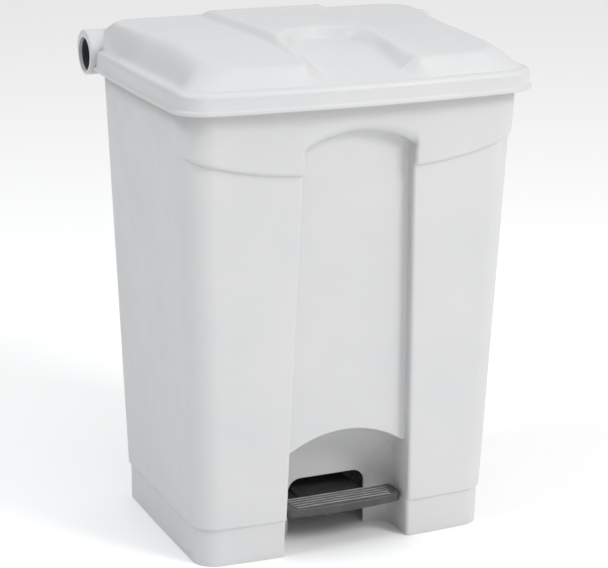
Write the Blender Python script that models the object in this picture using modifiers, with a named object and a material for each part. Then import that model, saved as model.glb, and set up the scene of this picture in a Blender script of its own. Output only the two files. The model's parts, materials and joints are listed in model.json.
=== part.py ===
"""Pedal bin, about 68 litres: a one-piece moulded container, a domed lid on a hollow
hinge tube, and a foot pedal that lifts the lid through a rod behind the container.

Run with: blender --background --python part.py
Metres, +Z up. The front of the bin faces -Y. The origin is on the floor, under the
middle of the bin's bounding box.
"""

import math

import bmesh
import bpy
from mathutils import Matrix, Vector

for old in list(bpy.data.objects):
    bpy.data.objects.remove(old, do_unlink=True)

# ---------------------------------------------------------------- driving dimensions

GAP = 0.0003            # left between neighbouring solids
WALL = 0.0035           # moulded wall of the container
ARC_STEPS = 6           # segments in each rounded corner of a plan outline
SIDE_STEPS = 6          # segments along each bowed side of a plan outline

# Container: (height, half width, front, back, corner radius) of its plan outlines
PLINTH_BOTTOM = (0.0, 0.2049, 0.1388, 0.1476, 0.027)
PLINTH_TOP = (0.0521, 0.2053, 0.1391, 0.1479, 0.027)
BODY_BOTTOM = (0.0521, 0.2086, 0.1425, 0.1513, 0.0307)
BODY_TOP = (0.6265, 0.2313, 0.1581, 0.1734, 0.0383)
FRONT_BOW = 0.0069      # how far the front swells out in the middle
SIDE_BOW = 0.0017
FLOOR_UNDERSIDE = 0.082
FLOOR_TOP = 0.0855

# Proud band round the top of the front
BAND_PROUD = 0.0048
BAND_LOW = 0.5155       # its lower edge beside the channel
BAND_HIGH = 0.5480      # its lower edge at the corners
BAND_SIDE_END = -0.050  # it dies into the side wall here (y)

# Channel down the front, with an arched top
CHANNEL_DEPTH = 0.0175
CHANNEL_HALF_TOP = 0.0756
CHANNEL_HALF_FOOT = 0.0892
ARCH_HALF = 0.0815
ARCH_SPRING = 0.5390
ARCH_CROWN = 0.5650

# Alcove for the foot, and the slot in its back wall
ALCOVE_HALF = 0.0889
ALCOVE_SPRING = 0.1330
ALCOVE_CROWN = 0.1612
ALCOVE_MOUTH_Y = -0.1370
ALCOVE_BACK_Y = -0.0760
ALCOVE_CORNER = 0.026
SLOT_HALF = 0.0560
SLOT_TOP = 0.0775
SLOT_CORNER = 0.018

# Groove behind the container, in which the lift rod runs
GROOVE_HALF = 0.028
GROOVE_FRONT_Y = 0.1160

# Lid: its hinge axis, outline, flange, dome and spine
HINGE_Y = 0.1625
HINGE_Z = 0.6215
LID_HALF = 0.2432
LID_FRONT = 0.1817
LID_BACK = 0.1968       # the flange runs on under the dome and is cut off by the barrel
LID_CORNER = 0.0359
LID_FRONT_BOW = 0.0128
LID_SIDE_BOW = 0.0038
LIP_PROUD = 0.0020
LIP_HEIGHT = 0.0045
SKIRT_BOTTOM = 0.6029
FLANGE_Z = 0.6303
SHOULDER = 0.0073
LID_WALL = 0.0030
DOME_FOOT = (0.2295, 0.1735, 0.1870, 0.030)
DOME_CREASE = (0.2000, 0.1545, 0.1650, 0.026)
DOME_BOW = 0.0090
DOME_REAR_FOOT_Z = 0.6420
DOME_REAR_Z = 0.6645
DOME_FRONT_Z = 0.6537
SPINE_RISE = 0.0080
SPINE_HALF_REAR = 0.0950
SPINE_HALF_FRONT = 0.0810
SPINE_EDGE = 0.0170
SCOOP_Y = -0.0895
SCOOP_RADIUS = 0.0780
SCOOP_FLOOR_Z = 0.6540

# Hinge barrel of the lid, the tube in it and the two brackets that carry the tube
BARREL_BORE = 0.0226
BARREL_RADIUS = 0.0268
HUMP_RADIUS = 0.0320
BARREL_END = 0.2510
TUBE_OUTER = 0.0222
TUBE_INNER = 0.0202
TUBE_HALF = 0.2470
BRACKET_X = 0.150
BRACKET_HALF = 0.018
BRACKET_RING = 0.0265
NOTCH_HALF = 0.020
NOTCH_RADIUS = 0.0282

# Linkage: the lid opens 75 degrees while the rod rises by the chord of that arc
LID_OPEN = math.radians(75)
LIFT_RADIUS = 0.0403
LIFT_Y = HINGE_Y - LIFT_RADIUS * math.cos(LID_OPEN / 2)
LIFT_Z = HINGE_Z - LIFT_RADIUS * math.sin(LID_OPEN / 2)
LUG_NOSE = 0.004
FIN_TOP = 0.6710         # inside the thickness of the spine
LUG_HALF = 0.011
LIFT_CLEARANCE = 0.0010
ROD_RADIUS = 0.004
PIVOT_Y = -0.0165
PIVOT_Z = 0.0500
PIN_Z = 0.0180          # rod pin at rest; the rear arm of the pedal lever slopes down to it
PIN_RADIUS = 0.003
PIN_SLOT = 0.0062       # room for the pin to slide along the lever as it swings

# Pedal
TREAD_HALF = 0.0836
TREAD_FRONT_Y = -0.1410
TREAD_BACK_Y = -0.0985
TREAD_BOTTOM = 0.0486
TREAD_TOP = 0.0605
TREAD_BOW = 0.0050
RIB_HEIGHT = 0.0016
RIB_COUNT = 5
LEVER_HALF = 0.0450
LEVER_BOTTOM = 0.0500
LEVER_TOP = 0.0560
HUB_RADIUS = 0.0085
HUB_BORE = 0.0043
AXLE_RADIUS = 0.0040
AXLE_HALF = 0.0675
AXLE_BLOCK_X = 0.0560
AXLE_BLOCK_HALF = 0.0070
BLADE_HALF = 0.0050

# Lift rod, its end pieces and guides
CAP_HALF = 0.0090
CAP_FRONT_Y = 0.1190
CAP_BACK_Y = 0.1345
CAP_HEIGHT = 0.0140
CLEVIS_HALF = 0.0103
GUIDE_HEIGHTS = (0.180, 0.500)
GUIDE_HALF = 0.0150
GUIDE_DEPTH = 0.0240

# Self-tapping screws
SCREW_RADIUS = 0.0020
SCREW_HOLE = 0.0023
HEAD_RADIUS = 0.0042
HEAD_HEIGHT = 0.0024
BRACKET_PLATE_Y = 0.1773
BRACKET_SCREW_Z = (0.551, 0.574)
FLANGE_SEAT_Z = 0.0760


# ---------------------------------------------------------------- materials and helpers

def material(name, colour, roughness, metallic=0.0):
    made = bpy.data.materials.new(name)
    made.use_nodes = True
    shader = made.node_tree.nodes["Principled BSDF"]
    shader.inputs["Base Color"].default_value = (*colour, 1.0)
    shader.inputs["Roughness"].default_value = roughness
    shader.inputs["Metallic"].default_value = metallic
    made.diffuse_color = (*colour, 1.0)
    return made


def new_collection(name):
    made = bpy.data.collections.new(name)
    bpy.context.scene.collection.children.link(made)
    return made


def mesh_object(name, bm, collection, skin=None, smooth=None):
    """Turn a bmesh into a named object; smooth is the angle above which edges stay sharp."""
    bmesh.ops.recalc_face_normals(bm, faces=bm.faces)
    mesh = bpy.data.meshes.new(name)
    bm.to_mesh(mesh)
    bm.free()
    made = bpy.data.objects.new(name, mesh)
    collection.objects.link(made)
    if skin:
        mesh.materials.append(skin)
    if smooth is not None:
        mesh.shade_smooth()
        mesh.set_sharp_from_angle(angle=math.radians(smooth))
    return made


def cutter(name, bm):
    made = mesh_object(name, bm, CUTTERS)
    made.hide_render = True
    made.display_type = "WIRE"
    return made


def boolean(target, tool, operation="DIFFERENCE"):
    modifier = target.modifiers.new(f"{operation.lower()} {tool.name}", "BOOLEAN")
    modifier.operation = operation
    modifier.object = tool
    modifier.solver = "EXACT"


def bake(target):
    """Apply all modifiers of an object, so that it can be cut or joined further."""
    graph = bpy.context.evaluated_depsgraph_get()
    graph.update()
    mesh = bpy.data.meshes.new_from_object(target.evaluated_get(graph))
    target.modifiers.clear()
    target.data = mesh
    return target


def put_on_axis(name, place, *moving):
    """Parent moving pieces to an empty that stands on their joint's axis."""
    axis = bpy.data.objects.new(name, None)
    PARTS.objects.link(axis)
    axis.location = place
    for piece in moving:
        piece.parent = axis
        piece.matrix_parent_inverse = Matrix.Translation(place).inverted()


def plan_outline(half, front, back, radius, front_bow=0.0, side_bow=0.0, inset=0.0,
                 steps=SIDE_STEPS):
    """Points of a rounded rectangle with a bowed front and bowed sides, from the middle
    of the back clockwise as seen from above; front and back are distances from y = 0."""
    half, front, back = half - inset, front - inset, back - inset
    radius = max(radius - inset, 0.002)
    middle = (back - front) / 2
    reach = (back + front) / 2

    def swell(x, y):
        if y <= -(front - radius) - 1e-9:
            y -= front_bow * max(0.0, 1 - (x / (half - radius * 0.3)) ** 2)
        if abs(x) >= half - radius - 1e-9:
            bulge = max(0.0, 1 - ((y - middle) / reach) ** 2)
            x += math.copysign(side_bow * bulge, x)
        return (x, y)

    points = []

    def run(start, end, count):
        for i in range(count):
            t = i / count
            points.append((start[0] + (end[0] - start[0]) * t,
                           start[1] + (end[1] - start[1]) * t))

    def corner(cx, cy, first):
        for i in range(ARC_STEPS):
            angle = first - math.pi / 2 * i / ARC_STEPS
            points.append((cx + radius * math.cos(angle), cy + radius * math.sin(angle)))

    x_in, y_front, y_back = half - radius, -(front - radius), back - radius
    run((0, back), (x_in, back), steps)
    corner(x_in, y_back, math.pi / 2)
    run((half, y_back), (half, y_front), steps)
    corner(x_in, y_front, 0.0)
    run((x_in, -front), (-x_in, -front), 2 * steps)
    corner(-x_in, y_front, -math.pi / 2)
    run((-half, y_front), (-half, y_back), steps)
    corner(-x_in, y_back, -math.pi)
    run((-x_in, back), (0, back), steps)
    return [swell(x, y) for x, y in points]


def loft(loops, capped=True):
    """Skin closed loops of equal length, each a list of (x, y, z)."""
    bm = bmesh.new()
    rings = [[bm.verts.new(p) for p in loop] for loop in loops]
    count = len(loops[0])
    for low, high in zip(rings, rings[1:]):
        for i in range(count):
            j = (i + 1) % count
            bm.faces.new((low[i], low[j], high[j], high[i]))
    if capped:
        bm.faces.new(rings[0])
        bm.faces.new(rings[-1])
    bmesh.ops.triangulate(bm, faces=bm.faces)   # tapered quads aren't flat
    return bm


def prism(outline, start, end, axis="Y"):
    """Extrude an outline of (a, b) pairs from start to end along an axis.
    Along Y the pairs are (x, z), along X they are (y, z), along Z they are (x, y)."""
    place = {"X": lambda a, b, t: (t, a, b), "Y": lambda a, b, t: (a, t, b),
             "Z": lambda a, b, t: (a, b, t)}[axis]
    return loft([[place(a, b, t) for a, b in outline] for t in (start, end)])


def arc(cx, cy, radius, start, end, steps):
    """Points along an arc, angles in degrees, both ends included."""
    angles = [math.radians(start + (end - start) * i / steps) for i in range(steps + 1)]
    return [(cx + radius * math.cos(a), cy + radius * math.sin(a)) for a in angles]


def box(low, high):
    bm = bmesh.new()
    size = [b - a for a, b in zip(low, high)]
    centre = [(a + b) / 2 for a, b in zip(low, high)]
    bmesh.ops.create_cube(bm, size=1.0,
                          matrix=Matrix.Translation(centre) @ Matrix.Diagonal((*size, 1)))
    return bm


def cylinder(radius, start, end, segments=24):
    """A closed cylinder between two points."""
    start, end = Vector(start), Vector(end)
    turn = Vector((0, 0, 1)).rotation_difference(end - start).to_matrix().to_4x4()
    bm = bmesh.new()
    bmesh.ops.create_cone(bm, cap_ends=True, segments=segments, radius1=radius,
                          radius2=radius, depth=(end - start).length,
                          matrix=Matrix.Translation((start + end) / 2) @ turn)
    return bm


def joined(*parts):
    """One bmesh out of several that don't touch."""
    whole = bmesh.new()
    for bm in parts:
        mesh = bpy.data.meshes.new("joined")
        bm.to_mesh(mesh)
        bm.free()
        whole.from_mesh(mesh)
        bpy.data.meshes.remove(mesh)
    return whole


def smoothstep(value, low, high):
    t = min(max((value - low) / (high - low), 0.0), 1.0)
    return t * t * (3 - 2 * t)


def mix(a, b, t):
    return a + (b - a) * t


# ---------------------------------------------------------------- container

def body_section(z):
    """Half width, front, back and corner radius of the tapered wall at a height."""
    t = (z - BODY_BOTTOM[0]) / (BODY_TOP[0] - BODY_BOTTOM[0])
    return [mix(a, b, t) for a, b in zip(BODY_BOTTOM[1:], BODY_TOP[1:])]


def body_loop(z, inset=0.0):
    return [(x, y, z) for x, y in
            plan_outline(*body_section(z), FRONT_BOW, SIDE_BOW, inset)]


def plinth_loop(section, inset=0.0):
    z, *plan = section
    return [(x, y, z) for x, y in plan_outline(*plan, FRONT_BOW, SIDE_BOW, inset)]


def band_edge_z(x, y):
    """Lower edge of the proud band: a shallow arc across the front, level on the sides."""
    t = min(abs(x) / 0.210, 1.0)
    return mix(BAND_LOW - 0.0045, BAND_HIGH, t ** 2.2)


def band_loops():
    """The band's outer faces: proud at the front and corners, fading along the sides."""
    def ring(z_of, extra):
        ring_points = []
        for x, y in plan_outline(*body_section(0.59), FRONT_BOW, SIDE_BOW):
            z = z_of(x, y)
            half, front, back, radius = body_section(z)
            base_half, base_front = body_section(0.59)[:2]
            fade = 1 - smoothstep(y, -0.125, BAND_SIDE_END)
            proud = mix(-0.0012, BAND_PROUD + extra, fade)
            scale_x = (half + proud) / base_half
            scale_y = (front + proud) / base_front if y < 0 else 1.0
            ring_points.append((x * scale_x, min(y * scale_y, 0.150), z))
        return ring_points

    core = [(x * 0.8, y * 0.8, 0.560) for x, y in
            plan_outline(*body_section(0.59), FRONT_BOW, SIDE_BOW)]
    lower = ring(band_edge_z, -0.0012)
    rounded = ring(lambda x, y: band_edge_z(x, y) + 0.0035, 0.0)
    upper = ring(lambda x, y: BODY_TOP[0] - 0.001, 0.0)
    return [core, lower, rounded, upper]


def channel_outline(grow=0.0):
    """The channel seen from the front: slightly wider at its foot, arched at its top."""
    low = [(-CHANNEL_HALF_FOOT - grow, -0.02), (CHANNEL_HALF_FOOT + grow, -0.02)]
    step_z = BAND_LOW + 0.004
    right = [(CHANNEL_HALF_TOP + grow, step_z), (ARCH_HALF + grow, step_z + 0.010),
             (ARCH_HALF + grow, ARCH_SPRING)]
    rise = ARCH_CROWN - ARCH_SPRING
    radius = (ARCH_HALF ** 2 + rise ** 2) / (2 * rise)
    spread = math.degrees(math.asin(ARCH_HALF / radius))
    crown = arc(0, ARCH_CROWN - radius, radius + grow, 90 - spread, 90 + spread, 10)
    left = [(-x, z) for x, z in reversed(right)]
    return low + right + crown[1:-1] + left


def channel_solid(grow=0.0):
    """Behind the front by the channel's depth, and following the taper of the front."""
    outline = channel_outline(grow)

    def back_y(z):
        return -(body_section(z)[1] + FRONT_BOW) + CHANNEL_DEPTH + grow

    near = [(x, -0.25, z) for x, z in outline]
    far = [(x, back_y(z), z) for x, z in outline]
    return loft([near, far])


def alcove_solid(grow=0.0):
    """The foot alcove: an arched mouth whose roof curves back and down to the slot wall."""
    rise = ALCOVE_CROWN - ALCOVE_SPRING
    radius = (ALCOVE_HALF ** 2 + rise ** 2) / (2 * rise)
    loops = []
    depth = ALCOVE_BACK_Y - ALCOVE_MOUTH_Y
    stations = [-0.25] + [mix(ALCOVE_MOUTH_Y, ALCOVE_BACK_Y, i / 7) for i in range(8)]
    for y in stations:
        t = min(max((y - ALCOVE_MOUTH_Y) / depth, 0.0), 1.0)
        drop = 0.075 * (1 - math.sqrt(max(1 - t ** 2, 0.0))) if t < 1 else 0.075
        corner_in = max(0.0, y - (ALCOVE_BACK_Y - ALCOVE_CORNER))
        pull = ALCOVE_CORNER - math.sqrt(max(ALCOVE_CORNER ** 2 - corner_in ** 2, 0.0))
        half = ALCOVE_HALF - pull + grow
        points = [(-half, y + grow * t, -0.02), (half, y + grow * t, -0.02)]
        for i in range(13):
            x = half * (1 - 2 * i / 12)
            chord = min(abs(x) * ALCOVE_HALF / half, ALCOVE_HALF)
            crown = ALCOVE_CROWN - radius + math.sqrt(radius ** 2 - chord ** 2)
            points.append((x, y + grow * t, crown - drop + grow))
        loops.append(points)
    return loft(loops)


def groove_solid(grow=0.0):
    """The groove for the lift rod, open to the back, with rounded inner corners."""
    half, front = GROOVE_HALF + grow, GROOVE_FRONT_Y - grow
    radius = 0.010
    outline = [(-half, 0.25)]
    outline += arc(-half + radius, front + radius, radius, 180, 270, 4)
    outline += arc(half - radius, front + radius, radius, 270, 360, 4)
    outline += [(half, 0.25)]
    return prism(outline, -0.02, 0.70, "Z")


def make_container(skin):
    body = mesh_object("container_body",
                       loft([plinth_loop(PLINTH_BOTTOM), plinth_loop(PLINTH_TOP),
                             body_loop(BODY_BOTTOM[0]), body_loop(BODY_TOP[0])]),
                       PARTS, skin)
    band = cutter("band_shape", loft(band_loops()))
    boolean(body, band, "UNION")
    for name, solid in (("channel_cut", channel_solid()), ("alcove_cut", alcove_solid()),
                        ("groove_cut", groove_solid())):
        boolean(body, cutter(name, solid))

    inside = cutter("inside_cut", loft([body_loop(FLOOR_TOP, WALL),
                                        body_loop(0.70, WALL)]))
    underside = cutter("underside_cut", loft([plinth_loop((-0.01, *PLINTH_BOTTOM[1:]), WALL),
                                              plinth_loop(PLINTH_TOP, WALL),
                                              body_loop(FLOOR_UNDERSIDE, WALL + 0.003)]))
    for hollow in (inside, underside):
        for name, solid in (("channel_wall", channel_solid(WALL)),
                            ("alcove_wall", alcove_solid(WALL)),
                            ("groove_wall", groove_solid(WALL))):
            boolean(hollow, cutter(f"{name}_{hollow.name}", solid))
        bake(hollow)
        boolean(body, hollow)

    slot = arc(-SLOT_HALF + SLOT_CORNER, SLOT_TOP - SLOT_CORNER, SLOT_CORNER, 180, 90, 5)
    slot += arc(SLOT_HALF - SLOT_CORNER, SLOT_TOP - SLOT_CORNER, SLOT_CORNER, 90, 0, 5)
    slot += [(SLOT_HALF, -0.02), (-SLOT_HALF, -0.02)]
    boolean(body, cutter("slot_cut", prism(slot, -0.090, -0.055, "Y")))
    passage = box((-GROOVE_HALF + 0.006, 0.09, -0.02), (GROOVE_HALF - 0.006, 0.13, 0.078))
    boolean(body, cutter("lever_passage", passage))
    boolean(body, cutter("barrel_clearance",
                         cylinder(HUMP_RADIUS + 0.0025, (-0.3, HINGE_Y, HINGE_Z),
                                  (0.3, HINGE_Y, HINGE_Z), 32)))
    rear_top = box((-0.3, HINGE_Y, HINGE_Z - 0.033), (0.3, 0.22, 0.70))
    boolean(body, cutter("rear_top_cut", rear_top))
    holes = [cylinder(SCREW_HOLE, seat - depth * 0.05, seat + depth, 12)
             for seat, depth in screw_seats()]
    boolean(body, cutter("screw_holes", joined(*holes)))
    return body



# ---------------------------------------------------------------- screws

def back_y(z):
    return body_section(z)[2]


def bracket_screws():
    """Where the bracket screws' heads seat, and the vector from the seat to the tip."""
    return [(Vector((side * BRACKET_X, BRACKET_PLATE_Y, z)),
             Vector((0, -(BRACKET_PLATE_Y - back_y(z) + WALL - 0.0003), 0)))
            for side in (-1, 1) for z in BRACKET_SCREW_Z]


def guide_screws():
    seat_y = GROOVE_FRONT_Y + GAP + GUIDE_DEPTH
    return [(Vector((side * 0.010, seat_y, z)), Vector((0, -(GUIDE_DEPTH + WALL), 0)))
            for z in GUIDE_HEIGHTS for side in (-1, 1)]


def axle_screws():
    return [(Vector((side * AXLE_BLOCK_X, PIVOT_Y + reach, FLANGE_SEAT_Z)),
             Vector((0, 0, FLOOR_TOP - FLANGE_SEAT_Z - 0.0003)))
            for side in (-1, 1) for reach in (-0.017, 0.017)]


def screw_seats():
    return bracket_screws() + guide_screws() + axle_screws()


def make_screw(name, seat, depth, skin):
    """A pan-head screw: one turned profile, from the top of its head down its side."""
    length = depth.length
    profile = [(0.0, HEAD_HEIGHT), (HEAD_RADIUS * 0.7, HEAD_HEIGHT * 0.85),
               (HEAD_RADIUS, HEAD_HEIGHT * 0.3), (HEAD_RADIUS, GAP), (SCREW_RADIUS, GAP),
               (SCREW_RADIUS, -length + 0.002), (0.0, -length)]
    bm = bmesh.new()
    points = [bm.verts.new((x, 0, z)) for x, z in profile]
    for a, b in zip(points, points[1:]):
        bm.edges.new((a, b))
    made = mesh_object(name, bm, PARTS, skin)
    turn = made.modifiers.new("turned", "SCREW")
    turn.steps = turn.render_steps = 12
    turn.use_merge_vertices = True
    turn.merge_threshold = 0.00001
    made.location = seat
    made.rotation_mode = "QUATERNION"
    made.rotation_quaternion = Vector((0, 0, -1)).rotation_difference(depth)
    return made


# ---------------------------------------------------------------- lid

def lid_floor_z(y):
    """Floor of the thumb scoop: it rolls over towards the flange at the front."""
    t = min(max((-y - 0.029) / 0.153, 0.0), 1.0)
    return mix(SCOOP_FLOOR_Z + 0.0026, FLANGE_Z, t ** 1.9)


def scoop_depth_in(x, y):
    """How far inside the scoop's arched outline a point is."""
    if y < SCOOP_Y:
        return SCOOP_RADIUS - abs(x)
    return SCOOP_RADIUS - math.hypot(x, y - SCOOP_Y)


def carve_scoop(x, y, z):
    inside = smoothstep(scoop_depth_in(x, y), 0.0, 0.014)
    return mix(z, min(z, lid_floor_z(y)), inside)


def lid_top_z(x, y):
    """The domed top with its raised spine and the thumb scoop in the spine's front."""
    fall = max(0.0, (0.020 - y) / 0.183)
    z = DOME_REAR_Z - (DOME_REAR_Z - DOME_FRONT_Z) * fall ** 2.2
    half = mix(SPINE_HALF_FRONT, SPINE_HALF_REAR, smoothstep(y, -0.10, 0.16))
    side = 1 - smoothstep(abs(x), half - SPINE_EDGE, half)
    ends = (1 - smoothstep(y, 0.146, 0.166)) * smoothstep(y, -0.16, -0.10)
    return carve_scoop(x, y, z + SPINE_RISE * side * ends)


def coons_grid(bm, ring, columns, rows, height):
    """Fill a ring of 2 * (columns + rows) vertices with a grid blended from its sides.
    The ring starts at a grid corner and runs along a side of `columns` faces first."""
    top = ring[:columns + 1]
    right = ring[columns:columns + rows + 1]
    bottom = ring[columns + rows:2 * columns + rows + 1][::-1]
    left = (ring[2 * columns + rows:] + [ring[0]])[::-1]
    grid = []
    for j in range(rows + 1):
        v = j / rows
        line = []
        for i in range(columns + 1):
            u = i / columns
            if j == 0:
                line.append(top[i])
            elif j == rows:
                line.append(bottom[i])
            elif i == 0:
                line.append(left[j])
            elif i == columns:
                line.append(right[j])
            else:
                across = left[j].co.lerp(right[j].co, u)
                along = top[i].co.lerp(bottom[i].co, v)
                twist = top[0].co.lerp(top[-1].co, u).lerp(
                    bottom[0].co.lerp(bottom[-1].co, u), v)
                place = across + along - twist
                place.z = height(place.x, place.y)
                line.append(bm.verts.new(place))
        grid.append(line)
    for low, high in zip(grid, grid[1:]):
        for i in range(columns):
            bm.faces.new((low[i], low[i + 1], high[i + 1], high[i]))


def lid_solid(wall):
    """The lid as a solid block. With wall = 0 it is the outer shape; with a wall it is
    the hollow to take out of that shape, and it reaches below the skirt."""
    steps = 10
    radius = SHOULDER - wall
    slope_inset = 0.45 * wall

    def skirt(inset, z):
        plan = plan_outline(LID_HALF, LID_FRONT, LID_BACK, LID_CORNER, LID_FRONT_BOW,
                            LID_SIDE_BOW, inset, steps)
        return [(x, y, z) for x, y in plan]

    if wall:
        loops = [skirt(LIP_PROUD + wall, SKIRT_BOTTOM - 0.01)]
    else:
        loops = [skirt(0, SKIRT_BOTTOM), skirt(0, SKIRT_BOTTOM + LIP_HEIGHT),
                 skirt(LIP_PROUD, SKIRT_BOTTOM + LIP_HEIGHT + LIP_PROUD)]
    for i in range(4):
        turn = math.radians(30 * i)
        loops.append(skirt(LIP_PROUD + SHOULDER - radius * math.cos(turn),
                           FLANGE_Z - SHOULDER + radius * math.sin(turn)))
    foot = plan_outline(*DOME_FOOT, DOME_BOW, 0, slope_inset, steps)
    crease = plan_outline(*DOME_CREASE, DOME_BOW, 0, slope_inset, steps)
    for t in (0.0, 0.35, 0.7, 0.88, 1.0):
        loop = []
        for (x0, y0), (x1, y1) in zip(foot, crease):
            x, y = mix(x0, x1, t), mix(y0, y1, t)
            low = mix(FLANGE_Z, DOME_REAR_FOOT_Z, smoothstep(y0, 0.150, 0.187))
            rise = 1.16 * t if t < 0.7 else 1 - 0.188 * (1 - t) - 1.46 * (1 - t) ** 2
            z = mix(low, lid_top_z(x1, y1), rise)
            loop.append((x, y, carve_scoop(x, y, z) - wall))
        loops.append(loop)
    bm = loft(loops, capped=False)
    bm.verts.ensure_lookup_table()
    count = len(loops[0])
    bm.faces.new(bm.verts[:count])
    ring = list(bm.verts[-count:])
    corner = steps + ARC_STEPS // 2          # middle of the back right corner
    ring = ring[-corner:] + ring[:-corner]
    coons_grid(bm, ring, 2 * steps + ARC_STEPS, steps + ARC_STEPS,
               lambda x, y: lid_top_z(x, y) - wall)
    bmesh.ops.triangulate(bm, faces=bm.faces)
    return bm


def barrel_outline(first=0, last=39, inset=0.0, hump=HUMP_RADIUS):
    """Section of the barrel, as (y, z): round below, with a thicker hump on top."""
    points = []
    for i in range(first, last + 1):
        angle = 2 * math.pi * i / 40
        radius = mix(BARREL_RADIUS, hump, smoothstep(math.sin(angle), -0.3, 0.5))
        points.append((HINGE_Y + (radius - inset) * math.cos(angle),
                       HINGE_Z + (radius - inset) * math.sin(angle)))
    return points


def along_hinge(radius, start, end, segments=32):
    return cylinder(radius, (start, HINGE_Y, HINGE_Z), (end, HINGE_Y, HINGE_Z), segments)


def notch_outline():
    """What a bracket's notch takes out of the lid, as (y, z)."""
    low, front, rear = 0.626, 0.118, 0.636
    first = math.degrees(math.asin((rear - HINGE_Z) / NOTCH_RADIUS))
    last = 180 - math.degrees(math.asin((low - HINGE_Z) / NOTCH_RADIUS))
    outline = [(front, 0.58), (0.200, 0.58), (0.200, rear)]
    outline += arc(HINGE_Y, HINGE_Z, NOTCH_RADIUS, first, last, 12)
    return outline + [(front, low)]


def make_lid(skin):
    lid = mesh_object("lid", lid_solid(0.0), PARTS, skin)
    boolean(lid, cutter("lid_hollow", lid_solid(LID_WALL)))
    behind = [(0.25, 0.55), (0.25, DOME_REAR_FOOT_Z)]
    behind += [(HINGE_Y + 0.0240, DOME_REAR_FOOT_Z)]
    behind += reversed(barrel_outline(-10, 4, 0.0003))
    behind += [(HINGE_Y, 0.55)]
    boolean(lid, cutter("behind_barrel", prism(behind, -0.3, 0.3, "X")))
    hump_half = LID_HALF - 0.0028
    ring, hump = barrel_outline(hump=BARREL_RADIUS), barrel_outline()
    stations = ((-BARREL_END, ring), (-hump_half - 0.0004, ring), (-hump_half, hump),
                (hump_half, hump), (hump_half + 0.0004, ring), (BARREL_END, ring))
    barrel = cutter("barrel", loft([[(x, y, z) for y, z in outline]
                                    for x, outline in stations]))
    fin = [(LIFT_Y + 0.0060, FIN_TOP), (LIFT_Y - 0.0060, FIN_TOP)]
    fin += arc(LIFT_Y, LIFT_Z, LUG_NOSE, 180, 360, 8)
    boolean(barrel, cutter("lift_fin", prism(fin, -LUG_HALF, LUG_HALF, "X")), "UNION")
    bake(barrel)
    boolean(lid, barrel, "UNION")
    boolean(lid, cutter("barrel_bore", along_hinge(BARREL_BORE, -0.3, 0.3)))
    for side in (-1, 1):
        low, high = side * BRACKET_X - NOTCH_HALF, side * BRACKET_X + NOTCH_HALF
        boolean(lid, cutter(f"notch_{side}", prism(notch_outline(), low, high, "X")))
    return lid


# ---------------------------------------------------------------- hinge

def make_hinge_tube(skin):
    tube = mesh_object("hinge_tube", along_hinge(TUBE_OUTER, -TUBE_HALF, TUBE_HALF), PARTS,
                       skin, 40)
    boolean(tube, cutter("tube_bore", along_hinge(TUBE_INNER, -0.3, 0.3)))
    return tube


def make_bracket(name, side, skin):
    """Its ring carries the hinge tube; its plate is screwed to the container's back."""
    low, high = 0.540, 0.5905
    outline = [(back_y(low) + GAP, low), (BRACKET_PLATE_Y, low),
               (BRACKET_PLATE_Y, 0.605), (0.1640, 0.605), (0.1640, 0.5960),
               (back_y(high) + 0.0006, high)]
    middle = side * BRACKET_X
    near, far = middle - BRACKET_HALF, middle + BRACKET_HALF
    bracket = mesh_object(name, prism(outline, near, far, "X"), PARTS, skin)
    boolean(bracket, cutter(f"{name}_ring", along_hinge(BRACKET_RING, near, far)), "UNION")
    bore = along_hinge(TUBE_OUTER + GAP, middle - 0.03, middle + 0.03)
    boolean(bracket, cutter(f"{name}_bore", bore))
    holes = [cylinder(SCREW_HOLE, seat - depth, seat + depth, 12)
             for seat, depth in bracket_screws() if seat.x * side > 0]
    boolean(bracket, cutter(f"{name}_holes", joined(*holes)))
    return bracket


# ---------------------------------------------------------------- lift rod

def make_rod(skin):
    top = LIFT_Z - LUG_NOSE - LIFT_CLEARANCE - 0.004
    return mesh_object("lift_rod", cylinder(ROD_RADIUS, (0, LIFT_Y, 0.0343),
                                            (0, LIFT_Y, top), 16), PARTS, skin, 40)


def make_rod_cap(skin):
    top = LIFT_Z - LUG_NOSE - LIFT_CLEARANCE
    cap = mesh_object("rod_cap", box((-CAP_HALF, CAP_FRONT_Y, top - CAP_HEIGHT),
                                     (CAP_HALF, CAP_BACK_Y, top)), PARTS, skin)
    edges = cap.modifiers.new("edges", "BEVEL")
    edges.width = 0.001
    edges.segments = 2
    bake(cap)
    socket = cylinder(ROD_RADIUS + GAP, (0, LIFT_Y, 0.5), (0, LIFT_Y, top - 0.004 + GAP), 16)
    boolean(cap, cutter("cap_socket", socket))
    return cap


def make_clevis(skin):
    """A fork on the rod's foot; the pin through it rides in the slot of the lever."""
    outline = arc(LIFT_Y, PIN_Z, 0.0080, 180, 360, 8)
    outline += [(LIFT_Y + 0.0080, 0.046), (LIFT_Y - 0.0080, 0.046)]
    clevis = mesh_object("rod_clevis", prism(outline, -CLEVIS_HALF, CLEVIS_HALF, "X"), PARTS,
                         skin, 40)
    mouth = box((-BLADE_HALF - 0.0006, 0.10, 0.0), (BLADE_HALF + 0.0006, 0.16, 0.0310))
    boolean(clevis, cutter("clevis_mouth", mouth))
    socket = cylinder(ROD_RADIUS + GAP, (0, LIFT_Y, 0.0340), (0, LIFT_Y, 0.06), 16)
    boolean(clevis, cutter("clevis_socket", socket))
    bore = cylinder(PIN_RADIUS + GAP, (-0.02, LIFT_Y, PIN_Z), (0.02, LIFT_Y, PIN_Z), 16)
    boolean(clevis, cutter("clevis_bore", bore))
    return clevis


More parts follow.
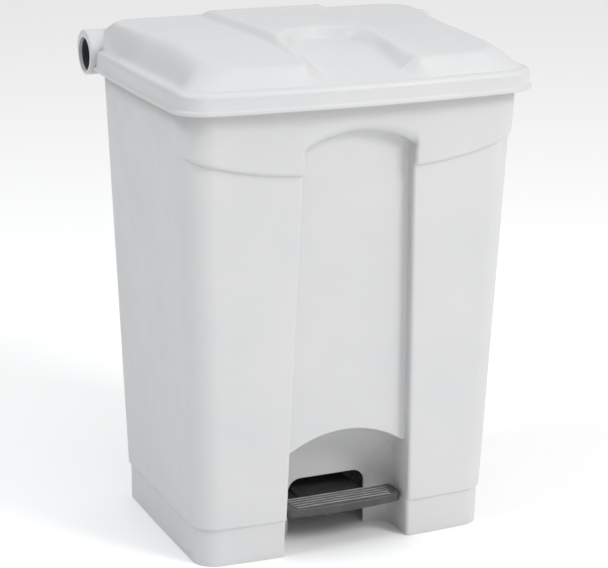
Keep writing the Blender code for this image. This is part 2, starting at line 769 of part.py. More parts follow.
def make_clevis_pin(skin):
    shank = cylinder(PIN_RADIUS, (-0.0125, LIFT_Y, PIN_Z), (0.0125, LIFT_Y, PIN_Z), 16)
    pin = mesh_object("clevis_pin", shank, PARTS, skin, 40)
    head = cylinder(0.0048, (0.0106, LIFT_Y, PIN_Z), (0.0126, LIFT_Y, PIN_Z), 16)
    boolean(pin, cutter("pin_head", head), "UNION")
    return pin


def make_guide(name, z, skin):
    near = GROOVE_FRONT_Y + GAP
    guide = mesh_object(name, box((-GUIDE_HALF, near, z - 0.007),
                                  (GUIDE_HALF, near + GUIDE_DEPTH, z + 0.007)), PARTS, skin)
    edges = guide.modifiers.new("edges", "BEVEL")
    edges.width = 0.0012
    edges.segments = 2
    bake(guide)
    bore = cylinder(ROD_RADIUS + 0.0004, (0, LIFT_Y, z - 0.02), (0, LIFT_Y, z + 0.02), 16)
    boolean(guide, cutter(f"{name}_bore", bore))
    holes = [cylinder(SCREW_HOLE, seat - depth, seat + depth, 12)
             for seat, depth in guide_screws() if abs(seat.z - z) < 0.01]
    boolean(guide, cutter(f"{name}_holes", joined(*holes)))
    return guide


# ---------------------------------------------------------------- pedal

def tread_outline():
    """Plan of the tread: round front corners, small rear corners and a bowed front."""
    front, back = 0.020, 0.006
    points = arc(TREAD_HALF - back, TREAD_BACK_Y - back, back, 90, 0, 3)
    points += arc(TREAD_HALF - front, TREAD_FRONT_Y + TREAD_BOW + front, front, 0, -90, 6)
    bow = []
    reach = TREAD_HALF - front
    for i in range(1, 12):
        x = reach * (1 - 2 * i / 12)
        bow.append((x, TREAD_FRONT_Y + TREAD_BOW * (x / reach) ** 2))
    return points + bow + [(-x, y) for x, y in reversed(points)]


def make_pedal(skin):
    """One moulding: ribbed tread, flat lever through the slot, hub and sloping rear arm."""
    pedal = mesh_object("pedal", prism(tread_outline(), TREAD_BOTTOM, TREAD_TOP, "Z"), PARTS,
                        skin, 35)
    depth = TREAD_BACK_Y - TREAD_FRONT_Y
    ribs = []
    for i in range(RIB_COUNT):
        y = TREAD_FRONT_Y + depth * (i + 1.15) / (RIB_COUNT + 0.9)
        half = TREAD_HALF - 0.016 + 0.0015 * i
        ribs.append(cylinder(RIB_HEIGHT, (-half, y, TREAD_TOP), (half, y, TREAD_TOP), 8))
    boolean(pedal, cutter("tread_ribs", joined(*ribs)), "UNION")
    plate = box((-LEVER_HALF, TREAD_BACK_Y - 0.006, LEVER_BOTTOM),
                (LEVER_HALF, PIVOT_Y, LEVER_TOP))
    boolean(pedal, cutter("lever_plate", plate), "UNION")
    hub = cylinder(HUB_RADIUS, (-LEVER_HALF, PIVOT_Y, PIVOT_Z), (LEVER_HALF, PIVOT_Y, PIVOT_Z),
                   24)
    boolean(pedal, cutter("lever_hub", hub), "UNION")
    slope = (PIN_Z - PIVOT_Z) / (LIFT_Y - PIVOT_Y)

    def arm_z(y):
        return PIVOT_Z + slope * (y - PIVOT_Y)

    for name, half, start, end, thick in (("arm_wide", 0.016, PIVOT_Y, 0.112, 0.0060),
                                          ("arm_blade", BLADE_HALF, 0.100, 0.140, 0.0070)):
        outline = [(start, arm_z(start) - thick), (end, arm_z(end) - thick),
                   (end, arm_z(end) + thick), (start, arm_z(start) + thick)]
        boolean(pedal, cutter(name, prism(outline, -half, half, "X")), "UNION")
    boolean(pedal, cutter("hub_bore", cylinder(HUB_BORE, (-0.1, PIVOT_Y, PIVOT_Z),
                                               (0.1, PIVOT_Y, PIVOT_Z), 24)))
    radius = PIN_RADIUS + 0.0009
    slot = arc(LIFT_Y - PIN_SLOT / 2, PIN_Z + 0.0004, radius, 90, 270, 6)
    slot += arc(LIFT_Y + PIN_SLOT / 4, PIN_Z - 0.0003, radius, -90, 90, 6)
    boolean(pedal, cutter("pin_slot", prism(slot, -0.02, 0.02, "X")))
    return pedal


def make_axle(skin):
    return mesh_object("pivot_axle", cylinder(AXLE_RADIUS, (-AXLE_HALF, PIVOT_Y, PIVOT_Z),
                                              (AXLE_HALF, PIVOT_Y, PIVOT_Z), 24), PARTS, skin, 40)


def make_axle_block(name, side, skin):
    """A bearing block under the container's floor, with a flange for two screws."""
    middle = side * AXLE_BLOCK_X
    low, high = middle - AXLE_BLOCK_HALF, middle + AXLE_BLOCK_HALF
    top = FLOOR_UNDERSIDE - GAP
    outline = arc(PIVOT_Y, PIVOT_Z, 0.0095, 180, 360, 10)
    outline += [(PIVOT_Y + 0.0105, FLANGE_SEAT_Z), (PIVOT_Y + 0.022, FLANGE_SEAT_Z),
                (PIVOT_Y + 0.022, top), (PIVOT_Y - 0.022, top),
                (PIVOT_Y - 0.022, FLANGE_SEAT_Z), (PIVOT_Y - 0.0105, FLANGE_SEAT_Z)]
    block = mesh_object(name, prism(outline, low, high, "X"), PARTS, skin, 40)
    bore = cylinder(AXLE_RADIUS + GAP, (low - 0.01, PIVOT_Y, PIVOT_Z),
                    (high + 0.01, PIVOT_Y, PIVOT_Z), 24)
    boolean(block, cutter(f"{name}_bore", bore))
    holes = [cylinder(SCREW_HOLE, seat - depth, seat + depth, 12)
             for seat, depth in axle_screws() if seat.x * side > 0]
    boolean(block, cutter(f"{name}_holes", joined(*holes)))
    return block


def make_axle_clip(name, side, skin):
    near = side * (AXLE_BLOCK_X + AXLE_BLOCK_HALF + 0.0005)
    far = near + side * 0.0016
    clip = mesh_object(name, cylinder(0.0080, (near, PIVOT_Y, PIVOT_Z),
                                      (far, PIVOT_Y, PIVOT_Z), 20), PARTS, skin, 40)
    bore = cylinder(AXLE_RADIUS + GAP, (near - 0.01, PIVOT_Y, PIVOT_Z),
                    (far + 0.01, PIVOT_Y, PIVOT_Z), 20)
    boolean(clip, cutter(f"{name}_bore", bore))
    return clip


# ---------------------------------------------------------------- start of the build

PARTS = new_collection("pedal_bin")
CUTTERS = new_collection("cutters")

WHITE = material("white_polypropylene", (0.80, 0.80, 0.80), 0.42)
CHARCOAL = material("charcoal_polypropylene", (0.045, 0.046, 0.050), 0.48)
NYLON = material("natural_nylon", (0.62, 0.60, 0.55), 0.50)
STEEL = material("zinc_plated_steel", (0.60, 0.61, 0.62), 0.32, 1.0)

SIDES = (("left", -1), ("right", 1))

make_container(WHITE)
put_on_axis("lid_hinge", (0, HINGE_Y, HINGE_Z), make_lid(WHITE))
make_hinge_tube(CHARCOAL)
put_on_axis("rod_slide", (0, LIFT_Y, 0), make_rod(STEEL), make_rod_cap(NYLON),
            make_clevis(NYLON), make_clevis_pin(STEEL))
put_on_axis("pedal_pivot", (0, PIVOT_Y, PIVOT_Z), make_pedal(CHARCOAL))
make_axle(STEEL)
for word, sign in SIDES:
    make_bracket(f"hinge_bracket_{word}", sign, WHITE)
    make_axle_block(f"axle_block_{word}", sign, NYLON)
    make_axle_clip(f"axle_clip_{word}", sign, STEEL)
for word, height in zip(("lower", "upper"), GUIDE_HEIGHTS):
    make_guide(f"rod_guide_{word}", height, NYLON)
for group, seats in (("bracket", bracket_screws()), ("guide", guide_screws()),
                     ("axle_block", axle_screws())):
    for number, (seat, depth) in enumerate(seats, start=1):
        make_screw(f"{group}_screw_{number}", seat, depth, STEEL)
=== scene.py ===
"""Looks of the pedal bin: fine meshes for its mouldings and a material for every piece."""

import json
import math

import bmesh
import bpy
import numpy as np
from mathutils import Matrix, Vector
from mathutils.geometry import delaunay_2d_cdt


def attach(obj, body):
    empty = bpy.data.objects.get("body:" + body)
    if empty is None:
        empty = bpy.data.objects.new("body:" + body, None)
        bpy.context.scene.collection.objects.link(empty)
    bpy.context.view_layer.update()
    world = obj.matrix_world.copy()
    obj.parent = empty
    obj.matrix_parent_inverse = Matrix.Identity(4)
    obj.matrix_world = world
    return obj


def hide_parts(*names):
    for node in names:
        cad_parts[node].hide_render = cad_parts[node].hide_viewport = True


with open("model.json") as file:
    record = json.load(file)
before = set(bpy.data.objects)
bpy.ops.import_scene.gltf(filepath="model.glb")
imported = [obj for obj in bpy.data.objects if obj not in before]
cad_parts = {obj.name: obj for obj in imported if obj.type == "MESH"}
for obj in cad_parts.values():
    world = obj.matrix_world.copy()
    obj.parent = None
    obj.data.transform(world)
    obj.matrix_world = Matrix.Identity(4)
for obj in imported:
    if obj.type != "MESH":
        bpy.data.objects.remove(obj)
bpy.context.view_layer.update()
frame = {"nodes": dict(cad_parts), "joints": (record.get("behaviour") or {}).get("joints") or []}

# ------ dimensions, in metres

# The hinge's place comes from the frame. The other sizes repeat the CAD model's, except that
# the band, dome, thumb scoop, barrel's hump and tread are shaped more closely here.
HINGE = next(j for j in frame["joints"] if j["name"] == "lid_hinge")["pos_m"]
HINGE_Y, HINGE_Z = HINGE[1], HINGE[2]
WALL = 0.0035
LID_WALL = 0.0030

# Past the bin's underside, its rim, its back and its sides, for what cuts right through it
BELOW, ABOVE, BEHIND, ACROSS = -0.02, 0.70, 0.25, (-0.3, 0.3)

# Plan sections of the container: height, half width, front, back, corner radius
STEP_Z, RIM_Z = 0.0521, 0.6265
PLINTH = np.array([(0.0, 0.2049, 0.1388, 0.1476, 0.0270),
                   (STEP_Z, 0.2053, 0.1391, 0.1479, 0.0270)])
BODY = np.array([(STEP_Z, 0.2086, 0.1425, 0.1513, 0.0307),
                 (RIM_Z, 0.2313, 0.1581, 0.1734, 0.0383)])
FRONT_BOW = 0.0069
SIDE_BOW = 0.0017
FLOOR_UNDERSIDE, FLOOR_TOP = 0.082, 0.0855

BAND_PROUD = 0.0065
BAND_LOW, BAND_HIGH = 0.5125, 0.5450    # its lower edge in the middle and at the corners
BAND_CORNER_X = 0.225
BAND_FADE = (-0.142, -0.118)        # the band sinks into the side walls between these y

CHANNEL_DEPTH = 0.0175
CHANNEL_TOP = (0.5195, 0.0756)      # height and half width
CHANNEL_FOOT = (0.0, 0.0888)
CHANNEL_FILLET = 0.0035
ARCH_HALF, ARCH_SPRING, ARCH_CROWN = 0.0815, 0.5390, 0.5650
ALCOVE_HALF, ALCOVE_SPRING, ALCOVE_CROWN = 0.0889, 0.1330, 0.1612
ALCOVE_DROP = 0.0750                # height over which its roof curves down to the back wall
ALCOVE_MOUTH_Y, ALCOVE_BACK_Y = -0.1370, -0.0760
ALCOVE_CORNER = 0.026
SLOT_HALF, SLOT_TOP, SLOT_CORNER = 0.0560, 0.0775, 0.018
GROOVE_HALF, GROOVE_FRONT_Y, GROOVE_CORNER = 0.028, 0.1160, 0.010
BARREL_CLEARANCE = 0.0345
REAR_RIM_Z = 0.5885

# Lid: plan is half width, front, back, corner radius
LID_PLAN = (0.2432, 0.1817, 0.1968, 0.0359)
LID_FRONT_BOW, LID_SIDE_BOW = 0.0128, 0.0038
LIP_PROUD = 0.0020
LIP = ((0.0010, 0.0), (0.0003, 0.0003), (0.0, 0.0010), (0.0, 0.0039), (0.0004, 0.0049),
       (LIP_PROUD - 0.0004, 0.0059), (LIP_PROUD, 0.0069))      # insets and heights up the skirt
SKIRT_BOTTOM, FLANGE_Z, SHOULDER = 0.6029, 0.6303, 0.0073
DOME_FOOT = (0.2335, 0.1735, 0.1870, 0.032)
DOME_CREASE = (0.1900, 0.1545, 0.1650, 0.034)
CREASE_FLARE, CREASE_FLARE_Y = 1.125, (-0.02, 0.14)    # it runs outwards towards the hinge
DOME_INSET = 0.45       # share of the wall by which the dome's hollow stands in
DOME_BOW = 0.0090
DOME_REAR_FOOT_Z, DOME_REAR_Z, DOME_FRONT_Z = 0.6420, 0.6645, 0.6537
DOME_FALL_Y, DOME_FALL_LENGTH, DOME_FALL = 0.020, 0.183, 2.2    # the top falls to the front
DOME_REAR_RAMP = (0.095, 0.165)         # its foot climbs to the hinge between these y
FLANK_FRONT, FLANK_REAR = (-0.175, -0.120), (0.08, 0.16)    # where its sides are soft slopes
FLANK_HOLLOW, FLANK_FULL, FLANK_EASE = (-0.02, 0.30), (0.40, 1.0), 0.84
BEVEL_FOOT, BEVEL_SLOPE, BEVEL_END, BEVEL_CREASE = 0.05, 1.088, 0.7, (0.188, 1.46)
SPINE_RISE, SPINE_HALF_REAR, SPINE_HALF_FRONT, SPINE_EDGE = 0.0080, 0.0950, 0.0810, 0.0170
SPINE_TAPER, SPINE_FRONT, SPINE_REAR = (-0.10, 0.16), (-0.16, -0.10), (0.146, 0.166)
SCOOP_Y, SCOOP_RADIUS = -0.0895, 0.0780
SCOOP_WALL_BACK, SCOOP_WALL_SIDE = 0.0130, 0.0300   # how far its sloped wall spreads
SCOOP_FLOOR_Z, SCOOP_FLOOR_REAR_Y, SCOOP_FLOOR_LENGTH, SCOOP_ROLL = 0.6566, -0.029, 0.153, 1.9

# Hinge barrel, the brackets' notches and the fin that rests on the lift rod
BARREL_BORE, BARREL_RADIUS, HUMP_RADIUS, BARREL_END = 0.0226, 0.0268, 0.0320, 0.2510
BARREL_EDGE = 0.0018
TUBE_OUTER, TUBE_INNER = 0.0222, 0.0202
TUBE_HALF = 0.2470
BRACKET_HALF, BRACKET_RING, PLATE_Y = 0.018, 0.0265, 0.1773
BRACKET_SCREW_Z = (0.551, 0.574)
BRACKET_X, NOTCH_HALF, NOTCH_RADIUS = 0.150, 0.020, 0.0282
LIFT_Y, LIFT_Z = 0.1305, 0.5970
LUG_HALF, FIN_HALF, LUG_NOSE, FIN_TOP = 0.011, 0.0060, 0.004, 0.6710

# Screws, rod guides and axle blocks
GAP = 0.0003
SCREW_RADIUS, SCREW_HOLE, HEAD_RADIUS, HEAD_HEIGHT = 0.0020, 0.0023, 0.0042, 0.0024
GUIDE_HEIGHTS, GUIDE_DEPTH, GUIDE_SCREW_X = (0.180, 0.500), 0.0240, 0.010
AXLE_BLOCK_X, AXLE_SCREW_Y, FLANGE_SEAT_Z = 0.0560, (-0.017, 0.017), 0.0760

# Lift rod, pedal and axle
ROD_RADIUS, ROD_FOOT_Z, ROD_TOP_Z = 0.004, 0.0343, 0.5880
PIVOT_Y, PIVOT_Z = -0.0165, 0.0500
PIN_Z, PIN_RADIUS, PIN_SLOT = 0.0180, 0.003, 0.0062
TREAD_HALF, TREAD_FRONT_Y, TREAD_BACK_Y = 0.0845, -0.1410, -0.0985
TREAD_BOTTOM, TREAD_TOP, TREAD_BOW = 0.0486, 0.0605, 0.0050
TREAD_EDGE, TREAD_FRONT_CORNER, TREAD_BACK_CORNER = 0.0022, 0.010, 0.005
RIB_HEIGHT, RIB_COUNT = 0.0016, 5
LEVER_HALF, LEVER_BOTTOM, LEVER_TOP = 0.0450, 0.0500, 0.0560
HUB_RADIUS, HUB_BORE = 0.0085, 0.0043
AXLE_RADIUS, AXLE_HALF, BLADE_HALF = 0.0040, 0.0675, 0.0050
CLIP_X, CLIP_RADIUS, CLIP_THICK = 0.0635, 0.0080, 0.0016

# Studio: the world brightens from one level to the other towards its bright side. A light
# is place, target, size, power and colour.
FLOOR_HALF = 14.0
BRIGHT_SIDE = (0.44, -0.08, 0.89)
WORLD_TURN, WORLD_LEVELS = (-0.10, 0.45), (0.17, 0.86)
LIGHTS = {"key": ((1.8, -2.8, 2.8), (0, 0, 0.35), (1.2, 1.2), 68, (1, 1, 1)),
          "fill": ((-2.1, -0.1, 2.9), (0, 0, 0.35), (1.2, 1.2), 38, (0.93, 0.97, 1.0)),
          "front": ((0.5, -3.2, 0.6), (0, 0, 0.2), (1.4, 0.9), 7, (1, 1, 1))}

# Camera: yaw, pitch and roll in degrees, lens and sensor in millimetres
CAMERA_PLACE, CAMERA_TURN = (-1.0933, -2.4376, 1.1246), (24.02, -16.74, 0.67)
CAMERA_LENS, CAMERA_SENSOR, CAMERA_SHIFT = 123.3, 36.0, (0.0057, 0.0015)


def smoothstep(value, low, high):
    t = np.clip((value - low) / (high - low), 0.0, 1.0)
    return t * t * (3 - 2 * t)


def mix(a, b, t):
    return a + (b - a) * t


def arch_height(x, half, spring, crown):
    """Height of a circular arch at x."""
    rise = crown - spring
    radius = (half ** 2 + rise ** 2) / (2 * rise)
    return crown - radius + np.sqrt(np.maximum(radius ** 2 - np.minimum(abs(x), half) ** 2, 0))


# ------ mesh helpers

VISUAL = bpy.data.collections.new("visual")
bpy.context.scene.collection.children.link(VISUAL)


def mesh_object(name, bm):
    bmesh.ops.triangulate(bm, faces=bm.faces)
    bmesh.ops.recalc_face_normals(bm, faces=bm.faces)
    mesh = bpy.data.meshes.new(name)
    bm.to_mesh(mesh)
    bm.free()
    made = bpy.data.objects.new(name, mesh)
    VISUAL.objects.link(made)
    shade(made)
    return made


def shade(made, sharp=35):
    made.data.shade_smooth()
    made.data.set_sharp_from_angle(angle=math.radians(sharp))


def loft(loops, caps=(True, True)):
    """Skin closed loops of equal length, each a list of (x, y, z)."""
    bm = bmesh.new()
    rings = [[bm.verts.new(p) for p in loop] for loop in loops]
    count = len(rings[0])
    for low, high in zip(rings, rings[1:]):
        for i in range(count):
            j = (i + 1) % count
            bm.faces.new((low[i], low[j], high[j], high[i]))
    for wanted, ring in zip(caps, (rings[0], rings[-1])):
        if wanted:
            bm.faces.new(ring)
    return bm


def prism(outline, start, end, axis):
    """Push an outline along an axis. Its points are places on the other two."""
    return loft([[np.insert(point, "XYZ".index(axis), t).tolist() for point in outline]
                 for t in (start, end)])


def arc(cx, cy, radius, start, end, steps):
    angles = np.radians(np.linspace(start, end, steps + 1))
    return [(cx + radius * math.cos(a), cy + radius * math.sin(a)) for a in angles]


def rounded_edge(radius):
    """Insets and drops along a quarter-round, from the end face to the side."""
    return [(radius * (1 - math.cos(a)), radius * (1 - math.sin(a)))
            for a in np.radians(np.linspace(90, 0, 6))]


def box_mesh(low, high):
    bm = bmesh.new()
    size = [b - a for a, b in zip(low, high)]
    centre = [(a + b) / 2 for a, b in zip(low, high)]
    bmesh.ops.create_cube(bm, size=1.0,
                          matrix=Matrix.Translation(centre) @ Matrix.Diagonal((*size, 1)))
    return bm


def softened(bm):
    bmesh.ops.bevel(bm, geom=bm.edges, offset=0.0008, segments=2, affect="EDGES")
    return bm


def cylinder_mesh(radius, start, end, segments=48):
    start, end = Vector(start), Vector(end)
    turn = Vector((0, 0, 1)).rotation_difference(end - start).to_matrix().to_4x4()
    bm = bmesh.new()
    bmesh.ops.create_cone(bm, cap_ends=True, segments=segments, radius1=radius,
                          radius2=radius, depth=(end - start).length,
                          matrix=Matrix.Translation((start + end) / 2) @ turn)
    return bm


def cut(target, tool, operation="DIFFERENCE"):
    """Apply a Boolean to two closed meshes; the tool is used up."""
    modifier = target.modifiers.new("cut", "BOOLEAN")
    modifier.operation = operation
    modifier.object = tool
    modifier.solver = "MANIFOLD"
    graph = bpy.context.evaluated_depsgraph_get()
    graph.update()
    mesh = bpy.data.meshes.new_from_object(target.evaluated_get(graph))
    target.modifiers.clear()
    target.data = mesh
    bpy.data.objects.remove(tool, do_unlink=True)
    return target


def carve(target, bm, operation="DIFFERENCE"):
    """Cut with a mesh that isn't an object yet."""
    return cut(target, mesh_object("tool", bm), operation)


# ------ container, outer surface

def section(z):
    """Half width, front, back and corner radius of the tapered wall at a height."""
    t = (z - BODY[0, 0]) / (BODY[1, 0] - BODY[0, 0])
    return [mix(BODY[0, i], BODY[1, i], t) for i in range(1, 5)]


def channel_half(z):
    t = (z - CHANNEL_FOOT[0]) / (CHANNEL_TOP[0] - CHANNEL_FOOT[0])
    return mix(CHANNEL_FOOT[1], CHANNEL_TOP[1], t)


def band_edge(x):
    """Lower edge of the proud band: a shallow arc across the front, level on the sides."""
    return mix(BAND_LOW, BAND_HIGH, (abs(x) / BAND_CORNER_X) ** 3)


# One half of the outline is a list of columns, from the middle of the front round to the
# middle of the back. A column has a zone and a place t (0 to 1) in it.
ZONES = (("panel", 16), ("inner_fillet", 7), ("wall", 6), ("outer_fillet", 6), ("front", 16),
         ("front_corner", 18), ("side", 26), ("rear_corner", 14), ("back", 12),
         ("groove_edge", 3), ("groove_wall", 3), ("groove_corner", 5), ("groove", 4))
FLAT_PITCH = 0.0006     # spacing of the wall's columns above the arch, where there's no wall
EDGE_RADIUS = 0.0045    # rounded edge of the channel
ARCH_EDGE_RADIUS = 0.0060           # and of the arch above the band's edge
GROOVE_EDGE = 0.0020

# Where the guide lines are worked out: x of the channel's, the front's and the corner's end,
# and y of the front, the side's two ends and the back
NOMINAL_HALF, NOMINAL_FRONT, NOMINAL_SIDE = 0.0848, 0.190, 0.226
NOMINAL_Y = (-0.15, -0.12, 0.13, 0.15)


def half_columns():
    columns = [(number, i / count) for number, (_, count) in enumerate(ZONES)
               for i in range(count)]
    zone, place = np.array(columns + [(len(ZONES) - 1, 1.0)]).T
    return zone.astype(int), place


def container_rows():
    """Rows of the surface from the floor up. The guides are the floor, the plinth step, the
    alcove's back wall, its arch, the band, the arch and the rim."""
    def row(guide, share=0.0, rise=0.0, inset=0, band=0, recess=1, alcove=0, round_in=0.0):
        """The guide below, the share of the way to the next one, and a height on top."""
        return guide, share, rise, inset, band, recess, alcove, round_in

    rows = [row(0, 0.0, rise, inset=1, alcove=1, round_in=round_in)
            for rise, round_in in ((0.0, 0.0008), (0.0003, 0.0002), (0.0010, 0.0))]
    rows += [row(0, share, inset=1, alcove=1) for share in (0.2, 0.4, 0.6, 0.8, 0.93)]
    rows += [row(1, 0.0, rise, inset=inset, alcove=1) for rise, inset in (
        (-0.0014, 1.0), (-0.0007, 0.97), (-0.0003, 0.88), (-0.0001, 0.70), (0.0, 0.45),
        (0.0002, 0.25), (0.0006, 0.10), (0.0012, 0.02), (0.0018, 0.0))]
    rows.append(row(1, 0.75, alcove=1))
    for i in range(16):
        angle = math.pi / 2 * (1 - i / 16)
        rows.append(row(2, math.cos(angle), alcove=math.sin(angle)))
    rows += [row(3, 0.0, rise, alcove=alcove) for rise, alcove in (
        (0.0001, 0.05), (0.0004, 0.028), (0.0009, 0.012), (0.0018, 0.003), (0.0030, 0.0))]
    rows += [row(3, share) for share in np.linspace(0.03, 0.965, 26)]
    rows += [row(4, 0.0, rise, band=band) for rise, band in (
        (-0.0012, 0.0), (-0.0004, 0.01), (0.0, 0.08), (0.0002, 0.23), (0.0006, 0.40),
        (0.0012, 0.56), (0.0020, 0.70), (0.0031, 0.82), (0.0044, 0.92), (0.0060, 0.985),
        (0.0090, 1.0))]
    rows += [row(4, share, band=1) for share in (0.45, 0.7)]
    rows += [row(5, 0.0, rise, band=1, recess=recess) for rise, recess in (
        (-0.0040, 1.0), (-0.0018, 0.985), (-0.0006, 0.93), (0.0, 0.84), (0.0002, 0.72),
        (0.0004, 0.60), (0.0008, 0.48), (0.0016, 0.385), (0.0030, 0.30), (0.0050, 0.22),
        (0.0078, 0.14), (0.0110, 0.07), (0.0145, 0.025), (0.0180, 0.0))]
    rows += [row(5, share, band=1, recess=0) for share in (0.45, 0.62, 0.8, 0.93)]
    rows += [row(6, 0.0, rise, band=1, recess=0, round_in=round_in)
             for rise, round_in in ((-0.0012, 0.0), (-0.0004, 0.0003), (0.0, 0.0012))]
    return np.array(rows)


def container_guides(x_nominal, arch_x, zone):
    """Heights of the seven guide lines in every column."""
    recessed = zone <= 3
    roof = arch_height(x_nominal, ALCOVE_HALF, ALCOVE_SPRING, ALCOVE_CROWN)
    arch = arch_height(arch_x, ARCH_HALF, ARCH_SPRING, ARCH_CROWN)
    beside = ARCH_SPRING + 0.030 * smoothstep(x_nominal, ARCH_HALF, 0.150)
    flat = np.zeros_like(x_nominal)
    edge = band_edge(np.where(recessed, NOMINAL_HALF + EDGE_RADIUS, x_nominal))
    return np.stack([flat, flat + STEP_Z, roof - ALCOVE_DROP, roof, edge,
                     np.where(recessed, arch, beside), flat + RIM_Z])


def container_half():
    """Points of one half of the outer surface, as rows by columns by 3."""
    zone, place = half_columns()
    rows = container_rows()
    zone, place = zone[None, :], place[None, :]
    low = rows[:, 0].astype(int)

    turn = place * math.pi / 2

    def by_zone(*values):
        """One value for each zone in turn, and the last one for the zones that are left."""
        return np.select([zone == i for i in range(len(values) - 1)], values[:-1], values[-1])

    x_nominal = by_zone(
        place * NOMINAL_HALF, *[NOMINAL_HALF] * 3,
        mix(NOMINAL_HALF + EDGE_RADIUS, NOMINAL_FRONT, place),
        mix(NOMINAL_FRONT, NOMINAL_SIDE, np.sin(turn)), NOMINAL_SIDE)
    steps_out = sum(count for _, count in ZONES[1:4])
    first = ZONES[0][1]
    index = np.arange(zone.shape[1])[None, :]

    def on_flat(edge):
        """Places of the channel's columns across a wall that has no channel in it."""
        return np.where(zone == 0, place * (edge - steps_out * FLAT_PITCH),
                        edge - (steps_out + first - index) * FLAT_PITCH)

    arch_x = on_flat(CHANNEL_TOP[1] + ARCH_EDGE_RADIUS)
    guides = container_guides(x_nominal[0], arch_x[0], zone[0])
    share, rise = rows[:, 1:2], rows[:, 2:3]
    z = mix(guides[low], guides[np.minimum(low + 1, 6)], share) + rise
    inset, band, recess, alcove, round_in = (rows[:, i:i + 1] for i in range(3, 8))

    half, front, back, radius = section(z)
    plinth_t = np.clip(z / STEP_Z, 0, 1)
    below = [mix(PLINTH[0, i], PLINTH[1, i], plinth_t) for i in range(1, 5)]
    half, front, back, radius = (mix(a, b, inset) for a, b in
                                 zip((half, front, back, radius), below))
    bare_front = section(z)[1]
    y_nominal = by_zone(*NOMINAL_Y[:1] * 5, mix(*NOMINAL_Y[:2], place),
                        mix(*NOMINAL_Y[1:3], place), NOMINAL_Y[3])
    fade = 1 - smoothstep(y_nominal, *BAND_FADE)
    extra = BAND_PROUD * band * fade - round_in
    half, front, back, radius = (v + extra for v in (half, front, back, radius))

    def bow(x):
        return FRONT_BOW * np.maximum(0.0, 1 - (x / (half - 0.3 * radius)) ** 2)

    # Channel, arch and alcove
    in_band = smoothstep(np.where(low[:, None] == 4, rise, np.where(low[:, None] > 4, 1, -1)),
                         -0.0006, 0.0080)
    c_half = mix(channel_half(z), CHANNEL_TOP[1], in_band)
    edge_radius = mix(EDGE_RADIUS, ARCH_EDGE_RADIUS, in_band)
    edge_x = c_half + edge_radius
    edge_y = -(front + bow(edge_x))
    panel_y = -(bare_front + FRONT_BOW) + CHANNEL_DEPTH
    deep_y = mix(panel_y, ALCOVE_BACK_Y, alcove)
    depth = deep_y - edge_y
    fillet = mix(CHANNEL_FILLET, ALCOVE_CORNER, smoothstep(alcove, 0.55, 1.0))
    path_x = by_zone(place * (c_half - fillet), c_half - fillet + fillet * np.sin(turn),
                     c_half + 0 * place, c_half + edge_radius * (1 - np.cos(turn)))
    path_depth = by_zone(depth + 0 * place, depth - fillet * (1 - np.cos(turn)),
                         mix(depth - fillet, edge_radius, place),
                         edge_radius * (1 - np.sin(turn)))
    flat_x = on_flat(edge_x)
    front_x = mix(edge_x, half - radius, place)

    cx, cy = half - radius, front - radius
    middle, reach = (back - front) / 2, (back + front) / 2
    side_y = mix(-cy, back - radius, place)
    g_edge = GROOVE_HALF + GROOVE_EDGE

    def side(x, y):
        bulge = SIDE_BOW * np.maximum(0.0, 1 - ((y - middle) / reach) ** 2)
        return x + bulge * smoothstep(x, half - radius, half - 0.5 * radius)

    channel_x = mix(flat_x, path_x, smoothstep(recess, 0.0, 1.0))
    x = by_zone(
        *[channel_x] * 4, front_x, cx + radius * np.sin(turn), half,
        cx + radius * np.cos(turn), mix(cx, g_edge, place),
        g_edge - GROOVE_EDGE * np.sin(turn), GROOVE_HALF + 0 * place,
        GROOVE_HALF - GROOVE_CORNER * (1 - np.cos(turn)),
        (GROOVE_HALF - GROOVE_CORNER) * (1 - place))
    surface_y = -(front + bow(x))
    panel = mix(surface_y, deep_y, recess)
    channel_y = np.where(zone == 0, panel, mix(surface_y, edge_y, recess)
                         + recess * path_depth)
    y = by_zone(
        *[channel_y] * 4, surface_y, -cy - radius * np.cos(turn) - bow(x), side_y,
        back - radius + radius * np.sin(turn), back + 0 * place,
        back - GROOVE_EDGE * (1 - np.cos(turn)),
        mix(back - GROOVE_EDGE, GROOVE_FRONT_Y + GROOVE_CORNER, place),
        GROOVE_FRONT_Y + GROOVE_CORNER * (1 - np.sin(turn)), GROOVE_FRONT_Y + 0 * place)
    x = np.where((zone >= 5) & (zone <= 7), side(x, y), x)
    return np.stack(np.broadcast_arrays(x, y, z), axis=-1)


def container_outside():
    """The whole outer surface: the half and its mirror image, closed flat at both ends."""
    half = container_half()
    mirrored = half[:, -2:0:-1] * (-1, 1, 1)
    points = np.concatenate([half, mirrored], axis=1)
    bm = loft(points.tolist(), caps=(False, False))
    count = points.shape[1]
    rings = list(bm.verts)[:count], list(bm.verts)[-count:]
    for ring in rings:
        found = delaunay_2d_cdt([v.co.to_2d() for v in ring], [], [list(range(count))], 1, 1e-7)
        for corners in found[2]:
            bm.faces.new([ring[found[3][i][0]] for i in corners])
    return bm


# ------ container, hollows

